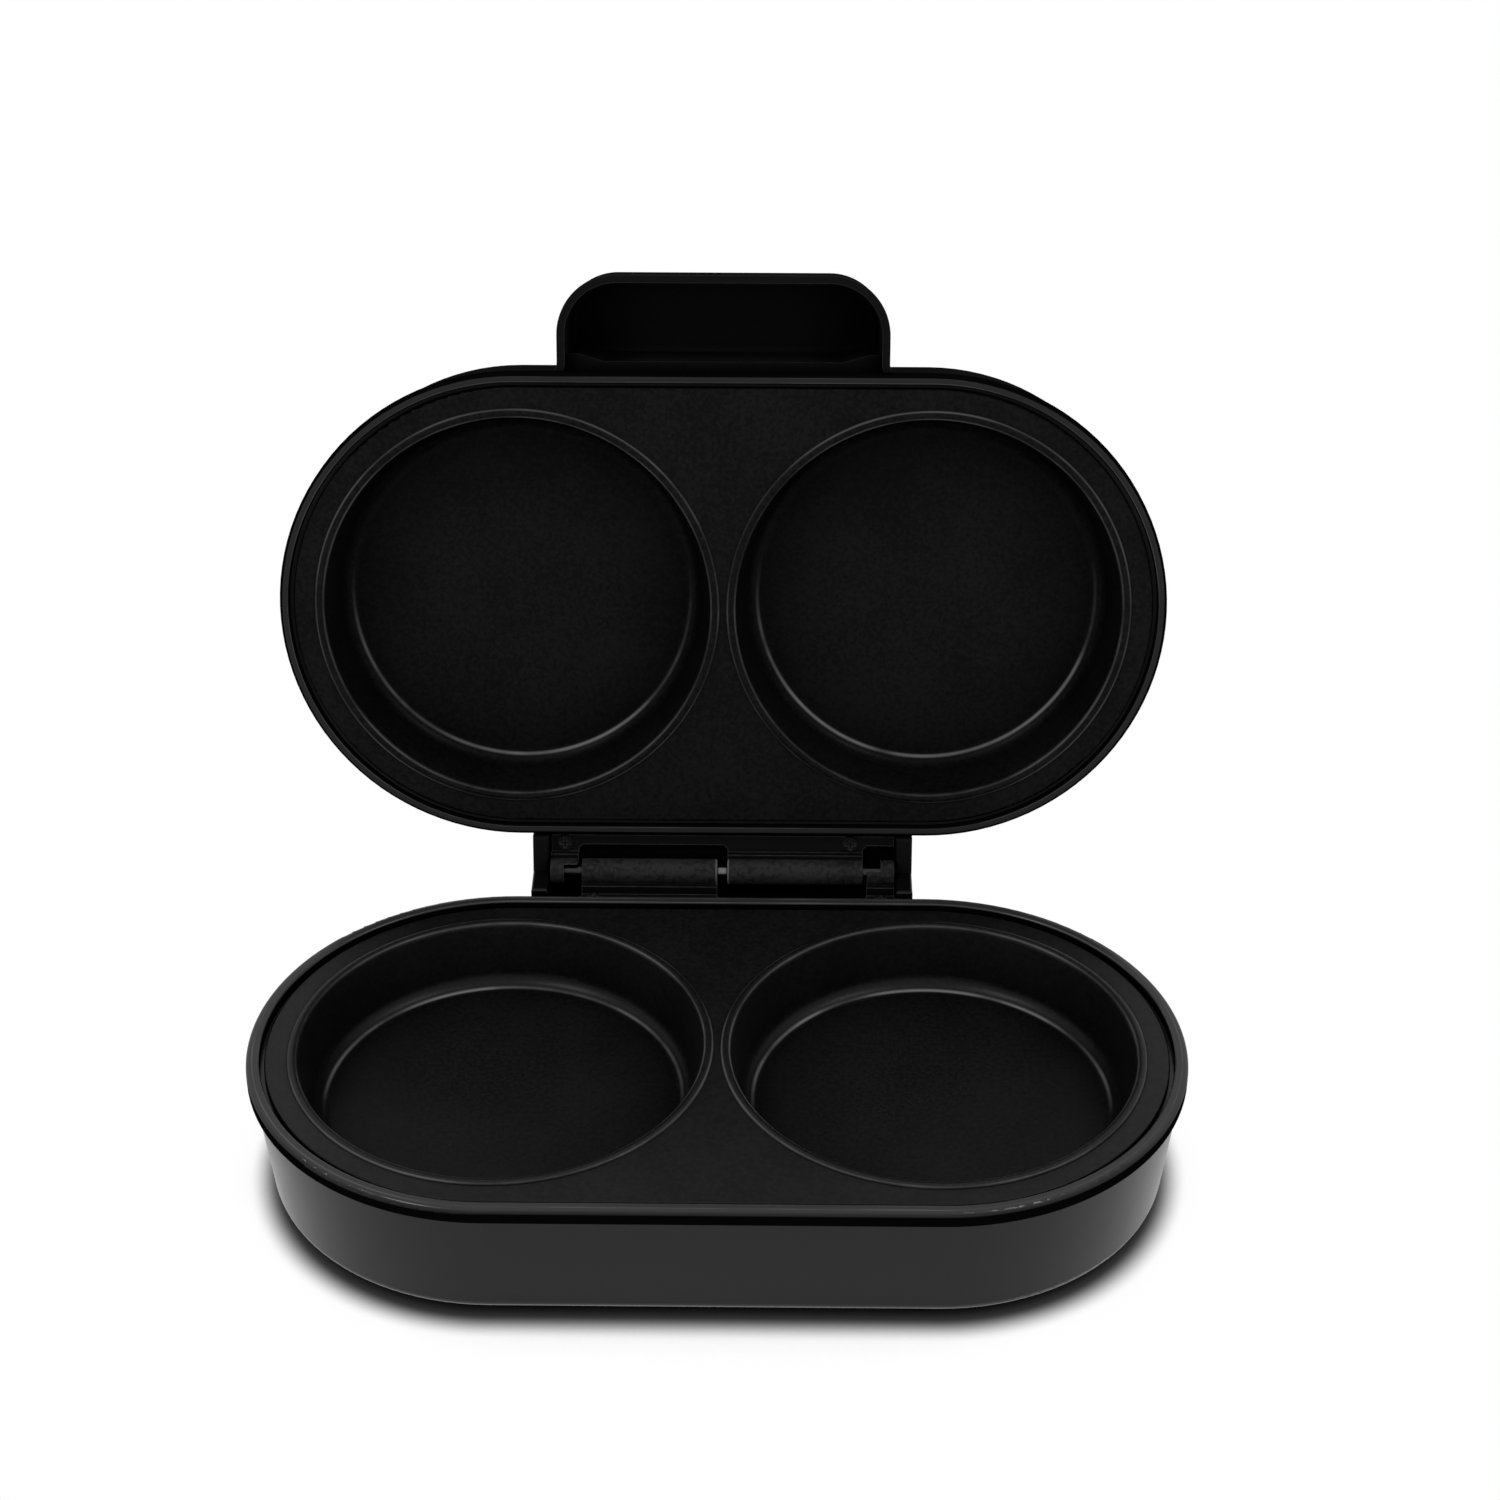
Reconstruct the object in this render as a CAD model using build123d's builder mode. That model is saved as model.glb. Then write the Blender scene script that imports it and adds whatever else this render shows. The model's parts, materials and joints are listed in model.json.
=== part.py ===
from build123d import *
from collections import namedtuple
import math
import os

# A twin-well countertop cooker: a base and a hinged lid, each with two round wells.
# The base stands on the origin's plane with its hinge towards +Y, and the lid is modelled
# open, leaning on its stop. Each half is drawn from its own face plane, which lies on the
# flat of its cooking plate: X along the cooker, Y towards the hinge, Z out of the wells.

# Track-shaped outline that both halves share: the base's rim stands a little further out
rim_depth = 120.6
base_outset = 0.8

# Moulded shells
rim_overhang = 1.2
seat_drop = 2.4
shell_depth = 33.0
shell_wall = 2.2
base_draft = 6.0
lid_draft = 4.5
base_edge_radius = 3.0
lid_edge_radius = 5.0

# Trim ring round each plate
bezel_width = 2.5
bezel_rise = 1.0
bezel_lap = 0.3
bezel_ledge = 7.0
bezel_round = 1.3
bezel_inner_round = 0.5
lug_width = 11.0

# Cooking plates
plate_inset = 3.5
plate_thickness = 1.6
plate_edge_round = 0.6
well_margin = 7.8
well_taper = 3.4
well_gap = 6.4
well_corner_radius = 4.0
bead_width = 2.4
bead_height = 0.7
plate_boss_x = 17.0
plate_boss_inset = 12.5
plate_boss_radius = 3.0
plate_boss_drop = 2.3
plate_screw_bite = 1.5

# Hinge
axis_reach = 9.35
axis_rise = 2.5
open_angle = 105.75
tower_width = 98.2
tower_corner = 8.0
tower_fillet = 3.0
cheek_width = 4.2
cheek_round = 0.8
parting_gap = 0.3
stop_gap = 0.1
pin_radius = 1.6
barrel_radius = 3.25
knuckle_start = 1.3
knuckle_gap = 1.0
hook_width = 7.1
hook_leg = 3.5
hook_gap = 0.4
hook_cut_reach = 2.4
leaf_drop = 2.2
leaf_thickness = 1.8
leaf_front_gap = 0.3
leaf_strip = 2.6
leaf_corner = 1.1
knuckle_round = 0.4
pin_end_round = 0.3
web_reach = 4.5
web_fall = 2.3
web_back_gap = 0.4
leaf_screw_reach = 2.1
leaf_screw_inset = 3.2
hook_screw_inset = 3.5
leaf_boss_radius = 3.0
leaf_boss_depth = 7.0

# Hood-shaped handle on the lid's free edge
handle_width = 82.8
handle_reach = 24.2
handle_corner = 15.0
handle_draft = 5.75
handle_flare = 3.5
handle_wall = 2.0
handle_depth = 17.0
handle_edge_drop = 1.5
handle_edge_radius = 5.0
handle_inner_radius = 1.5
handle_root = 1.7
handle_root_drop = 5.0
root_flat = 60.0
root_shoulder = 1.9
root_slope = 6.3
handle_screw_x = 24.0
handle_screw_drop = 11.0
handle_screw_bite = 3.0

# Heaters
element_radius = 3.25
element_inset = 18.0
pad_width = 11.0
pad_depth = 3.5
pad_inset = 3.0
lead_spacing = 16.0
lead_bend = 8.0
lead_inset = 16.5
seal_length = 5.0
tip_radius = 1.2
tip_length = 7.0
shield_thickness = 0.6
shield_inset = 8.0
shield_lip = 4.0
shield_bend = 1.0
shield_gap = 2.15
shield_boss_height = 3.7
shield_boss_radius = 4.0

# Thermostat, thermal fuse and terminal block in the base
thermostat_inset = 20.5
thermostat_radius = 7.6
thermostat_height = 8.5
thermostat_pad = 2.0
ear_width = 6.0
ear_thickness = 0.8
ear_reach = 10.2
blade_width = 4.0
blade_thickness = 0.8
blade_length = 6.0
blade_spacing = 8.0
fuse_inset = 19.5
fuse_radius = 2.0
fuse_length = 12.0
fuse_pad = 2.5
clip_width = 6.0
clip_thickness = 0.6
clip_foot = 4.8
block_length = 24.0
block_ear = 6.0
block_ear_height = 3.0
block_width = 9.0
block_height = 11.0
block_inset = 10.5
block_lift = 3.0
block_boss_radius = 3.2
port_radius = 2.0
port_screw_depth = 3.7
port_spacing = 8.0
port_count = 3

# Lamps in the lid
lamp_x = 9.0
lamp_inset = 16.5
lens_radius = 3.5
lens_flange = 1.0
lens_rise = 1.2
lens_dome = 1.0
lens_depth = 3.2
lamp_radius = 2.5
lamp_length = 11.0
holder_length = 30.0
holder_width = 11.0
holder_corner = 2.75
holder_height = 8.0
lamp_boss_radius = 3.0
lamp_boss_height = 4.0
notch_margin = 2.0

# Cord inlet bush in the base's rear wall
inlet_inset = 21.1
inlet_lift = 14.0
inlet_bore_radius = 3.4
inlet_body_radius = 4.6
inlet_flange_radius = 6.6
inlet_flange = 1.6
inlet_lip_radius = 5.4
inlet_lip = 1.6
inlet_round = 0.8

# Feet
foot_radius = 6.0
foot_height = 3.0
foot_recess = 0.8
foot_stem_radius = 2.5
foot_barb = 0.6
foot_barb_height = 1.2
foot_round = 1.0
front_foot_inset = 13.8
front_foot_bearing = 50.4
rear_foot_side = 12.6
rear_foot_inset = 13.0

# Screws, clearances and vents
screw_radius = 1.5
screw_length = 6.0
screw_head_radius = 2.2
screw_head_height = 0.7
washer_head_radius = 4.3
washer_head_height = 1.6
cross_width = 0.7
cross_share = 0.6
cross_depth = 0.45
head_round = 0.5
fit = 0.05
body_gap = 0.3
short_bite = 2.5
vent_width = 3.0
vent_length = 26.0
vent_spacing = 9.0
vent_count = 3

# Heights and reaches that follow from the sizes above
rim_half = rim_depth / 2
shell_height = shell_depth - seat_drop
face_height = foot_height + shell_depth
floor_drop = shell_depth - shell_wall
shield_drop = floor_drop - shield_boss_height
element_drop = shield_drop - shield_thickness - shield_gap - element_radius
cup_drop = element_drop - pad_depth
well_depth = cup_drop - plate_thickness
well_mouth_radius = rim_half - plate_inset - well_margin
well_floor_radius = well_mouth_radius - well_taper
well_spacing = 2 * well_mouth_radius + well_gap
well_centres = [(-well_spacing / 2, 0), (well_spacing / 2, 0)]
skirt_drop = seat_drop + bezel_lap
bezel_skirt = rim_overhang - body_gap
plate_boss_y = rim_half - plate_boss_inset
boss_points = [(x, y) for x in (-plate_boss_x, plate_boss_x) for y in (-plate_boss_y, plate_boss_y)]
element_ring = well_floor_radius - element_inset
pad_limit = well_floor_radius - pad_inset
lead_end = rim_half - lead_inset
axis_y = rim_half + axis_reach
stop_angle = math.radians(open_angle / 2)
cheek_back = axis_y + 2 * cheek_round
tower_back = cheek_back + tower_corner
cheek_x = (tower_width - cheek_width) / 2
recess_width = tower_width - 2 * cheek_width
shelf_drop = leaf_drop + leaf_thickness
leaf_front = rim_half + base_outset + leaf_front_gap
hook_end = recess_width / 2 - hook_gap
hook_leg_start = hook_end - hook_leg
hook_start = hook_end - hook_width
knuckle_end = hook_start - knuckle_gap
web_top = axis_rise - web_fall
leaf_screw_y = leaf_front + leaf_screw_reach
leaf_screw_points = (leaf_screw_inset - knuckle_end, hook_end - hook_screw_inset)
leaf_screws = [(x, leaf_screw_y) for x in leaf_screw_points]
beyond = rim_half / 2
thermostat_y = thermostat_inset - rim_half
fuse_y = rim_half - fuse_inset
block_y = tower_back - block_inset
lamp_y = lamp_inset - rim_half
inlet_x = inlet_inset - tower_width / 2
inlet_drop = shell_depth - inlet_lift
lug_length = rim_half - bezel_ledge / 2 - plate_boss_y
lug_y = plate_boss_y + lug_length / 2
block_screw_x = (block_length + block_ear) / 2
notch_width = holder_length + 2 * notch_margin
notch_depth = holder_width + 2 * notch_margin
block_screws = [(-block_screw_x, 0), (block_screw_x, 0)]
clip_screw_reach = fuse_radius + clip_thickness + clip_foot / 2 + 2 * fit
clip_screws = [(0, fuse_y - clip_screw_reach), (0, fuse_y + clip_screw_reach)]
lamp_points = [(-lamp_x, lamp_y), (lamp_x, lamp_y)]
front_foot_reach = rim_half - front_foot_inset
front_foot_angle = math.radians(front_foot_bearing)
front_foot_x = well_spacing / 2 + front_foot_reach * math.cos(front_foot_angle)
front_foot_y = -front_foot_reach * math.sin(front_foot_angle)
rear_foot_x = tower_width / 2 - rear_foot_side
rear_foot_y = tower_back - rear_foot_inset
foot_points = {
    "front_left": (-front_foot_x, front_foot_y),
    "front_right": (front_foot_x, front_foot_y),
    "rear_left": (-rear_foot_x, rear_foot_y),
    "rear_right": (rear_foot_x, rear_foot_y),
}

# How far back the leaning lid reaches, which puts the origin under the middle of the cooker
lean = math.radians(open_angle)
wall_retreat = shell_height * math.tan(math.radians(lid_draft))
edge_inset = lid_edge_radius * math.tan(math.radians(45 - lid_draft / 2))
crown_y = axis_y + rim_half - rim_overhang - wall_retreat - edge_inset
crown_z = axis_rise + shell_depth - lid_edge_radius
lid_reach = axis_y - crown_y * math.cos(lean) + crown_z * math.sin(lean) + lid_edge_radius
centre_y = (rim_half + base_outset - lid_reach) / 2

# Face planes of the base, the closed lid and the lid as it leans open
base_face = Plane((0, centre_y, face_height), x_dir=(1, 0, 0), z_dir=(0, 0, 1))
closed_origin = base_face.from_local_coords((0, 0, 2 * axis_rise))
closed_face = Plane(closed_origin, x_dir=(-1, 0, 0), z_dir=(0, 0, -1))
hinge_centre = base_face.from_local_coords((0, axis_y, axis_rise))
swing = Location(hinge_centre, (-open_angle, 0, 0)) * Location(-hinge_centre)
lid_face = Plane(swing * closed_face.location)

# What differs between the two halves: the rim's outset, and the wall's draft and far edge
Half = namedtuple("Half", "face outset draft edge_radius")
base = Half(base_face, base_outset, base_draft, base_edge_radius)
lid = Half(lid_face, 0.0, lid_draft, lid_edge_radius)


def above(face, x, y, z):
    """Plane parallel to the face, through a point given in the face's own directions."""
    return Plane(face.from_local_coords((x, y, z)), x_dir=face.x_dir, z_dir=face.z_dir)


def across(face, x=0.0):
    """Cross-section plane: its X runs towards the hinge and its Y out of the face."""
    return Plane(face.from_local_coords((x, 0, 0)), x_dir=face.y_dir, z_dir=face.x_dir)


def radial(face, x, y=0.0):
    """Half-section plane on a line that stands on the face: its Y runs out of the face."""
    return Plane(face.from_local_coords((x, y, 0)), x_dir=face.x_dir, z_dir=-face.y_dir)


def upright(face, x=0.0, y=0.0):
    """Turning axis that stands on the face at a point."""
    return Axis(face.from_local_coords((x, y, 0)), face.z_dir)


def wall_plane(half, x, drop, reach, side):
    """Plane on a drafted outer wall: side is -1 for the free edge and 1 for the tower's back."""
    face = half.face
    tilt = math.radians(half.draft)
    y = side * (reach - (drop - seat_drop) * math.tan(tilt))
    normal = face.y_dir * (side * math.cos(tilt)) - face.z_dir * math.sin(tilt)
    return Plane(face.from_local_coords((x, y, -drop)), x_dir=face.x_dir, z_dir=normal)


def wall_across(half):
    """Thickness of a drafted wall, measured square to it."""
    return shell_wall * math.cos(math.radians(half.draft))


def end_face(builder, face, index):
    """Lowest (0) or highest (-1) face of a part, seen along its face plane's normal."""
    return builder.faces().sort_by(upright(face))[index]


def track(inset, mode=Mode.ADD):
    """Race-track outline, drawn in from the rim by the inset."""
    return SlotCenterToCenter(well_spacing, rim_depth - 2 * inset, mode=mode)


def save(part, name):
    """Label one finished piece and write it."""
    part.label = name
    export_step(part, f"parts/{name}.step")


def shell_outline(half, inset):
    """Plan of a moulded shell: the track with the hinge tower behind it."""
    with BuildSketch() as outline:
        track(rim_overhang - half.outset)
        with Locations((0, tower_back / 2)):
            RectangleRounded(tower_width, tower_back, tower_corner)
        sides = outline.vertices().filter_by(lambda v: abs(abs(v.X) - tower_width / 2) < fit)
        fillet(sides.sort_by(Axis.Y)[:2], radius=tower_fillet)
        if inset > 0:
            offset(amount=-inset)
    return outline.sketch


def drafted(half, outline, height, edge_radius):
    """Block that narrows away from the face, with its far edge rounded."""
    with BuildPart() as block:
        with BuildSketch(half.face.offset(-seat_drop)):
            add(outline)
        extrude(amount=-height, taper=half.draft)
        fillet(end_face(block, half.face, 0).edges(), radius=edge_radius)
    return block.part


def stop_point(distance, depth):
    """Point on the slanting stop face: distance from the hinge axis, depth under the face."""
    y = axis_y + distance * math.cos(stop_angle) - depth * math.sin(stop_angle)
    z = axis_rise - distance * math.sin(stop_angle) - depth * math.cos(stop_angle)
    return (y, z)


def shell_cavity(half):
    """Hollow of a shell, leaving a roof of wall thickness on the tower."""
    roof_drop = shelf_drop + shell_wall
    inner_rim = rim_half + half.outset - rim_overhang - shell_wall
    turn = (axis_rise + roof_drop - shell_wall * math.cos(stop_angle)) / math.sin(stop_angle)
    inner_radius = half.edge_radius - shell_wall
    with BuildPart() as cavity:
        add(drafted(half, shell_outline(half, shell_wall), shell_height - shell_wall, inner_radius))
        with BuildSketch(across(half.face)):
            with BuildLine():
                Polyline(
                    (inner_rim, beyond),
                    (inner_rim, -roof_drop),
                    stop_point(turn, shell_wall),
                    stop_point(beyond, shell_wall),
                    (axis_y + beyond, beyond),
                    close=True,
                )
            make_face()
        extrude(amount=tower_width, both=True, mode=Mode.SUBTRACT)
    return cavity.part


def cheeks(half):
    """Two rounded cheeks that stand on the tower and cover the ends of the hinge pin."""
    front = rim_half + half.outset + body_gap
    with BuildPart() as pair:
        with BuildSketch(half.face.offset(-seat_drop)):
            with Locations((-cheek_x, front), (cheek_x, front)):
                Rectangle(cheek_width, cheek_back - front, align=(Align.CENTER, Align.MIN))
        extrude(amount=seat_drop + axis_rise - parting_gap / 2)
        tops = pair.faces().group_by(upright(half.face))[-1]
        fillet(tops.edges(), radius=cheek_round)
    return pair.part


def moulded_shell(half):
    """One moulded half: drafted tub, hinge tower with cheeks, shelf and stop face."""
    face = half.face
    with BuildPart() as shell:
        add(drafted(half, shell_outline(half, 0), shell_height, half.edge_radius))
        add(shell_cavity(half), mode=Mode.SUBTRACT)
        add(cheeks(half))

        # slanting face that meets the other half's when the lid leans open
        with BuildSketch(across(face)):
            with BuildLine():
                Polyline(
                    stop_point(-beyond, stop_gap / 2),
                    stop_point(beyond, stop_gap / 2),
                    (axis_y + beyond, beyond),
                    close=True,
                )
            make_face()
        extrude(amount=tower_width, both=True, mode=Mode.SUBTRACT)

        # shelf between the cheeks, which the hinge leaf lies on
        with BuildSketch(face.offset(-shelf_drop)):
            with Locations((0, rim_half + half.outset - rim_overhang)):
                Rectangle(recess_width, beyond, align=(Align.CENTER, Align.MIN))
        extrude(amount=beyond, mode=Mode.SUBTRACT)

        # groove that the trim ring's skirt drops into
        with BuildSketch(face.offset(-skirt_drop)):
            track(-body_gap - half.outset)
            track(rim_overhang - half.outset, mode=Mode.SUBTRACT)
        extrude(amount=skirt_drop + beyond, mode=Mode.SUBTRACT)

        # bosses and holes for the leaf's screws
        with BuildSketch(face.offset(-shelf_drop - fit)):
            with Locations(*leaf_screws):
                Circle(leaf_boss_radius)
        extrude(amount=-leaf_boss_depth)
        with BuildSketch(face.offset(-shelf_drop)):
            with Locations(*leaf_screws):
                Circle(screw_radius + fit)
        extrude(amount=-screw_length, mode=Mode.SUBTRACT)

        # bosses that carry the heat shield
        with BuildSketch(face.offset(-floor_drop)):
            with Locations(*well_centres):
                Circle(shield_boss_radius)
        extrude(amount=shield_boss_height)
        with BuildSketch(face.offset(-shield_drop)):
            with Locations(*well_centres):
                Circle(screw_radius + fit)
        extrude(amount=-shield_boss_height, mode=Mode.SUBTRACT)
    return shell.part


def trim_ring(half):
    """Trim ring: a skirt over the shell's edge, a rounded crown and a ledge under the plate."""
    face = half.face
    with BuildPart() as ring:
        with BuildSketch(face.offset(-skirt_drop)):
            track(-half.outset)
            track(bezel_skirt - half.outset, mode=Mode.SUBTRACT)
        extrude(amount=skirt_drop)
        with BuildSketch(face.offset(-seat_drop)):
            track(-half.outset)
            track(bezel_width, mode=Mode.SUBTRACT)
        extrude(amount=seat_drop + bezel_rise)
        crown = end_face(ring, face, -1)
        fillet(crown.outer_wire().edges(), radius=bezel_round)
        crown = end_face(ring, face, -1)
        fillet(crown.inner_wires()[0].edges(), radius=bezel_inner_round)
        with BuildSketch(face.offset(-seat_drop)):
            track(bezel_skirt - half.outset)
            track(bezel_ledge, mode=Mode.SUBTRACT)
            with Locations(*boss_points):
                Circle(lug_width / 2)
            for side in (-1, 1):
                with Locations((-plate_boss_x, side * lug_y), (plate_boss_x, side * lug_y)):
                    Rectangle(lug_width, lug_length)
            with Locations(*boss_points):
                Circle(plate_boss_radius + fit, mode=Mode.SUBTRACT)
        extrude(amount=seat_drop - plate_thickness)
    return ring.part


def cooking_plate(face):
    """Cast plate with two round wells, a bead round each mouth and pads for the element."""
    with BuildPart() as plate:
        with BuildSketch(face):
            track(plate_inset)
        extrude(amount=-plate_thickness)
        fillet(end_face(plate, face, -1).edges(), radius=plate_edge_round)
        with BuildSketch(face.offset(-plate_thickness)):
            with Locations(*boss_points):
                Circle(plate_boss_radius)
        extrude(amount=plate_thickness - plate_boss_drop)

        # outside of each cup, and the bead round its mouth
        for x, y in well_centres:
            with BuildSketch(radial(face, x, y)) as cup:
                with BuildLine():
                    Polyline(
                        (0, 0),
                        (well_mouth_radius + plate_thickness, 0),
                        (well_floor_radius + plate_thickness, -cup_drop),
                        (0, -cup_drop),
                        close=True,
                    )
                make_face()
                heel = cup.vertices().group_by(Axis.Y)[0].sort_by(Axis.X)[-1]
                fillet(heel, radius=well_corner_radius)
                with Locations((well_mouth_radius + bead_width / 2, 0)):
                    Ellipse(bead_width / 2, bead_height)
            revolve(axis=upright(face, x, y))

        # pads that hold the element against the floors of the cups
        with BuildSketch(face.offset(-cup_drop + fit)):
            for x, y in well_centres:
                with Locations((x, y)):
                    Circle(pad_limit)
            with BuildSketch(mode=Mode.INTERSECT):
                track(rim_half - element_ring - pad_width / 2)
                track(rim_half - element_ring + pad_width / 2, mode=Mode.SUBTRACT)
        extrude(amount=-pad_depth - fit)

        # inside of each cup
        for x, y in well_centres:
            with BuildSketch(radial(face, x, y)) as well:
                with BuildLine():
                    Polyline(
                        (0, well_depth),
                        (well_mouth_radius, well_depth),
                        (well_mouth_radius, 0),
                        (well_floor_radius, -well_depth),
                        (0, -well_depth),
                        close=True,
                    )
                make_face()
                heel = well.vertices().group_by(Axis.Y)[0].sort_by(Axis.X)[-1]
                fillet(heel, radius=well_corner_radius)
            revolve(axis=upright(face, x, y), mode=Mode.SUBTRACT)

        # groove for the element and holes for the plate's screws
        add(element(face, element_radius + fit), mode=Mode.SUBTRACT)
        with BuildSketch(face.offset(-plate_boss_drop)):
            with Locations(*boss_points):
                Circle(screw_radius + fit)
        extrude(amount=plate_screw_bite, mode=Mode.SUBTRACT)
    return plate.part


def element(face, radius):
    """Tubular heater that loops under both wells, its two ends turned towards the hinge."""
    lead = lead_spacing / 2
    turn_x = lead + lead_bend
    turn_y = element_ring + lead_bend
    half = well_spacing / 2
    with BuildPart() as tube:
        with BuildLine(face.offset(-element_drop)) as path:
            Line((-lead, lead_end), (-lead, turn_y))
            CenterArc((-turn_x, turn_y), lead_bend, 0, -90)
            Line((-turn_x, element_ring), (-half, element_ring))
            CenterArc((-half, 0), element_ring, 90, 180)
            Line((-half, -element_ring), (half, -element_ring))
            CenterArc((half, 0), element_ring, -90, 180)
            Line((half, element_ring), (turn_x, element_ring))
            CenterArc((turn_x, turn_y), lead_bend, 270, -90)
            Line((lead, turn_y), (lead, lead_end))
        with BuildSketch(Plane(path.line @ 0, z_dir=path.line % 0)):
            Circle(radius)
        sweep()
    return tube.part


def element_ends(face, radius, start, length, bore=0.0):
    """Round sleeves or pins in line with the two ends of the element."""
    with BuildPart() as ends:
        for x in (-lead_spacing / 2, lead_spacing / 2):
            end = face.from_local_coords((x, start, -element_drop))
            with BuildSketch(Plane(end, x_dir=face.x_dir, z_dir=face.y_dir)):
                Circle(radius)
                if bore > 0:
                    Circle(bore, mode=Mode.SUBTRACT)
            extrude(amount=length)
    return ends.part


def heat_shield(face, notched):
    """Thin sheet pan between the element and the shell's floor."""
    with BuildPart() as pan:
        with BuildSketch(face.offset(-shield_drop)):
            track(shield_inset)
            if notched:
                with Locations((0, lamp_y)):
                    Rectangle(notch_width, notch_depth, mode=Mode.SUBTRACT)
                    with Locations((0, -notch_depth / 2)):
                        Rectangle(notch_width, notch_depth, mode=Mode.SUBTRACT)
        extrude(amount=shield_lip)
        fillet(end_face(pan, face, 0).edges(), radius=shield_bend)
        top = end_face(pan, face, -1)
        offset(amount=-shield_thickness, openings=top)
        with BuildSketch(face.offset(-shield_drop)):
            with Locations(*well_centres):
                Circle(screw_radius + fit)
        extrude(amount=shield_thickness, mode=Mode.SUBTRACT)
    return pan.part


def screws(planes, head_radius, head_height, length):
    """Cross-head screws: each plane lies under a head and faces out of it."""
    with BuildPart() as batch:
        for plane in planes:
            with BuildPart(mode=Mode.PRIVATE) as screw:
                with BuildSketch(plane):
                    Circle(head_radius)
                extrude(amount=head_height)
                top = screw.faces().sort_by(Axis(plane.origin, plane.z_dir))[-1]
                fillet(top.edges(), radius=head_round)
                with BuildSketch(plane):
                    Circle(screw_radius)
                extrude(amount=-length)
                with BuildSketch(plane.offset(head_height)):
                    Rectangle(2 * cross_share * head_radius, cross_width)
                    Rectangle(cross_width, 2 * cross_share * head_radius)
                extrude(amount=-cross_depth, mode=Mode.SUBTRACT)
            add(screw.part)
    return batch.part


def hinge_leaf(face):
    """Steel leaf: a plate under the screws, one long knuckle and an end hook round the pin."""
    notch = leaf_front + leaf_strip
    web_front = leaf_front + web_reach
    back = axis_y - web_back_gap
    with BuildPart() as leaf:
        with BuildSketch(face.offset(-shelf_drop)):
            with BuildLine():
                Polyline(
                    (-hook_end, leaf_front),
                    (hook_end, leaf_front),
                    (hook_end, back),
                    (hook_start, back),
                    (hook_start, notch + leaf_corner),
                    (hook_start - leaf_corner, notch),
                    (leaf_corner - knuckle_start, notch),
                    (-knuckle_start, notch + leaf_corner),
                    (-knuckle_start, back),
                    (-knuckle_end, back),
                    (-knuckle_end, notch + leaf_corner),
                    (-knuckle_end - leaf_corner, notch),
                    (-hook_end, notch),
                    close=True,
                )
            make_face()
        extrude(amount=leaf_thickness)

        # web and knuckle of each arm
        for start, end in ((-knuckle_end, -knuckle_start), (hook_start, hook_end)):
            with BuildSketch(face.offset(-shelf_drop)):
                with Locations((start, web_front)):
                    Rectangle(end - start, back - web_front, align=(Align.MIN, Align.MIN))
            extrude(amount=shelf_drop + web_top)
            with BuildPart(mode=Mode.PRIVATE) as knuckle:
                with BuildSketch(across(face, start)):
                    with Locations((axis_y, axis_rise)):
                        Circle(barrel_radius)
                extrude(amount=end - start)
                fillet(knuckle.edges().filter_by(GeomType.CIRCLE), radius=knuckle_round)
            add(knuckle.part)

        # the hook's short arm stops in front of the pin
        with BuildSketch(across(face, hook_start)):
            with Locations((axis_y - hook_cut_reach, web_top)):
                Rectangle(beyond, beyond, align=(Align.MIN, Align.MIN))
        extrude(amount=hook_leg_start - hook_start, mode=Mode.SUBTRACT)

        # bore for the pin and holes for the screws
        with BuildSketch(across(face)):
            with Locations((axis_y, axis_rise)):
                Circle(pin_radius + fit)
        extrude(amount=tower_width, both=True, mode=Mode.SUBTRACT)
        with BuildSketch(face.offset(-shelf_drop)):
            with Locations(*leaf_screws):
                Circle(screw_radius + fit)
        extrude(amount=leaf_thickness, mode=Mode.SUBTRACT)
    return leaf.part


def handle_outline(inset):
    """Plan of the handle hood, drawn together with the shell it grows from."""
    tip = rim_half + handle_reach
    with BuildSketch() as outline:
        track(rim_overhang)
        with Locations((0, -tip / 2)):
            RectangleRounded(handle_width, tip, handle_corner)
        sides = outline.vertices().filter_by(lambda v: abs(abs(v.X) - handle_width / 2) < fit)
        fillet(sides.sort_by(Axis.Y)[-2:], radius=handle_flare)
        if inset > 0:
            offset(amount=-inset)
    return outline.sketch


def handle_hollow(face):
    """Finger hollow of the handle, narrowing away from the face."""
    root = -(rim_half + handle_root)
    shoulder = root - root_shoulder
    with BuildPart() as hollow:
        with BuildSketch(face.offset(-handle_edge_drop)):
            add(handle_outline(handle_wall))
            with BuildSketch(mode=Mode.INTERSECT):
                with BuildLine():
                    Polyline(
                        (-root_flat / 2, root),
                        (root_flat / 2, root),
                        (root_flat / 2 + root_slope, shoulder),
                        (handle_width, shoulder),
                        (handle_width, 2 * shoulder),
                        (-handle_width, 2 * shoulder),
                        (-handle_width, shoulder),
                        (-root_flat / 2 - root_slope, shoulder),
                        close=True,
                    )
                make_face()
        extrude(amount=handle_edge_drop + handle_wall - handle_depth, taper=handle_draft)
        fillet(end_face(hollow, face, 0).edges(), radius=handle_inner_radius)
    return hollow.part


def handle_screws():
    """Planes under the heads of the handle's screws, on the inside of the shell's front wall."""
    planes = []
    for x in (-handle_screw_x, handle_screw_x):
        wall = wall_plane(lid, x, handle_screw_drop, rim_half - rim_overhang, -1)
        inside = wall.offset(-wall_across(lid))
        planes.append(Plane(inside.origin, x_dir=inside.x_dir, z_dir=-inside.z_dir))
    return planes


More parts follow.
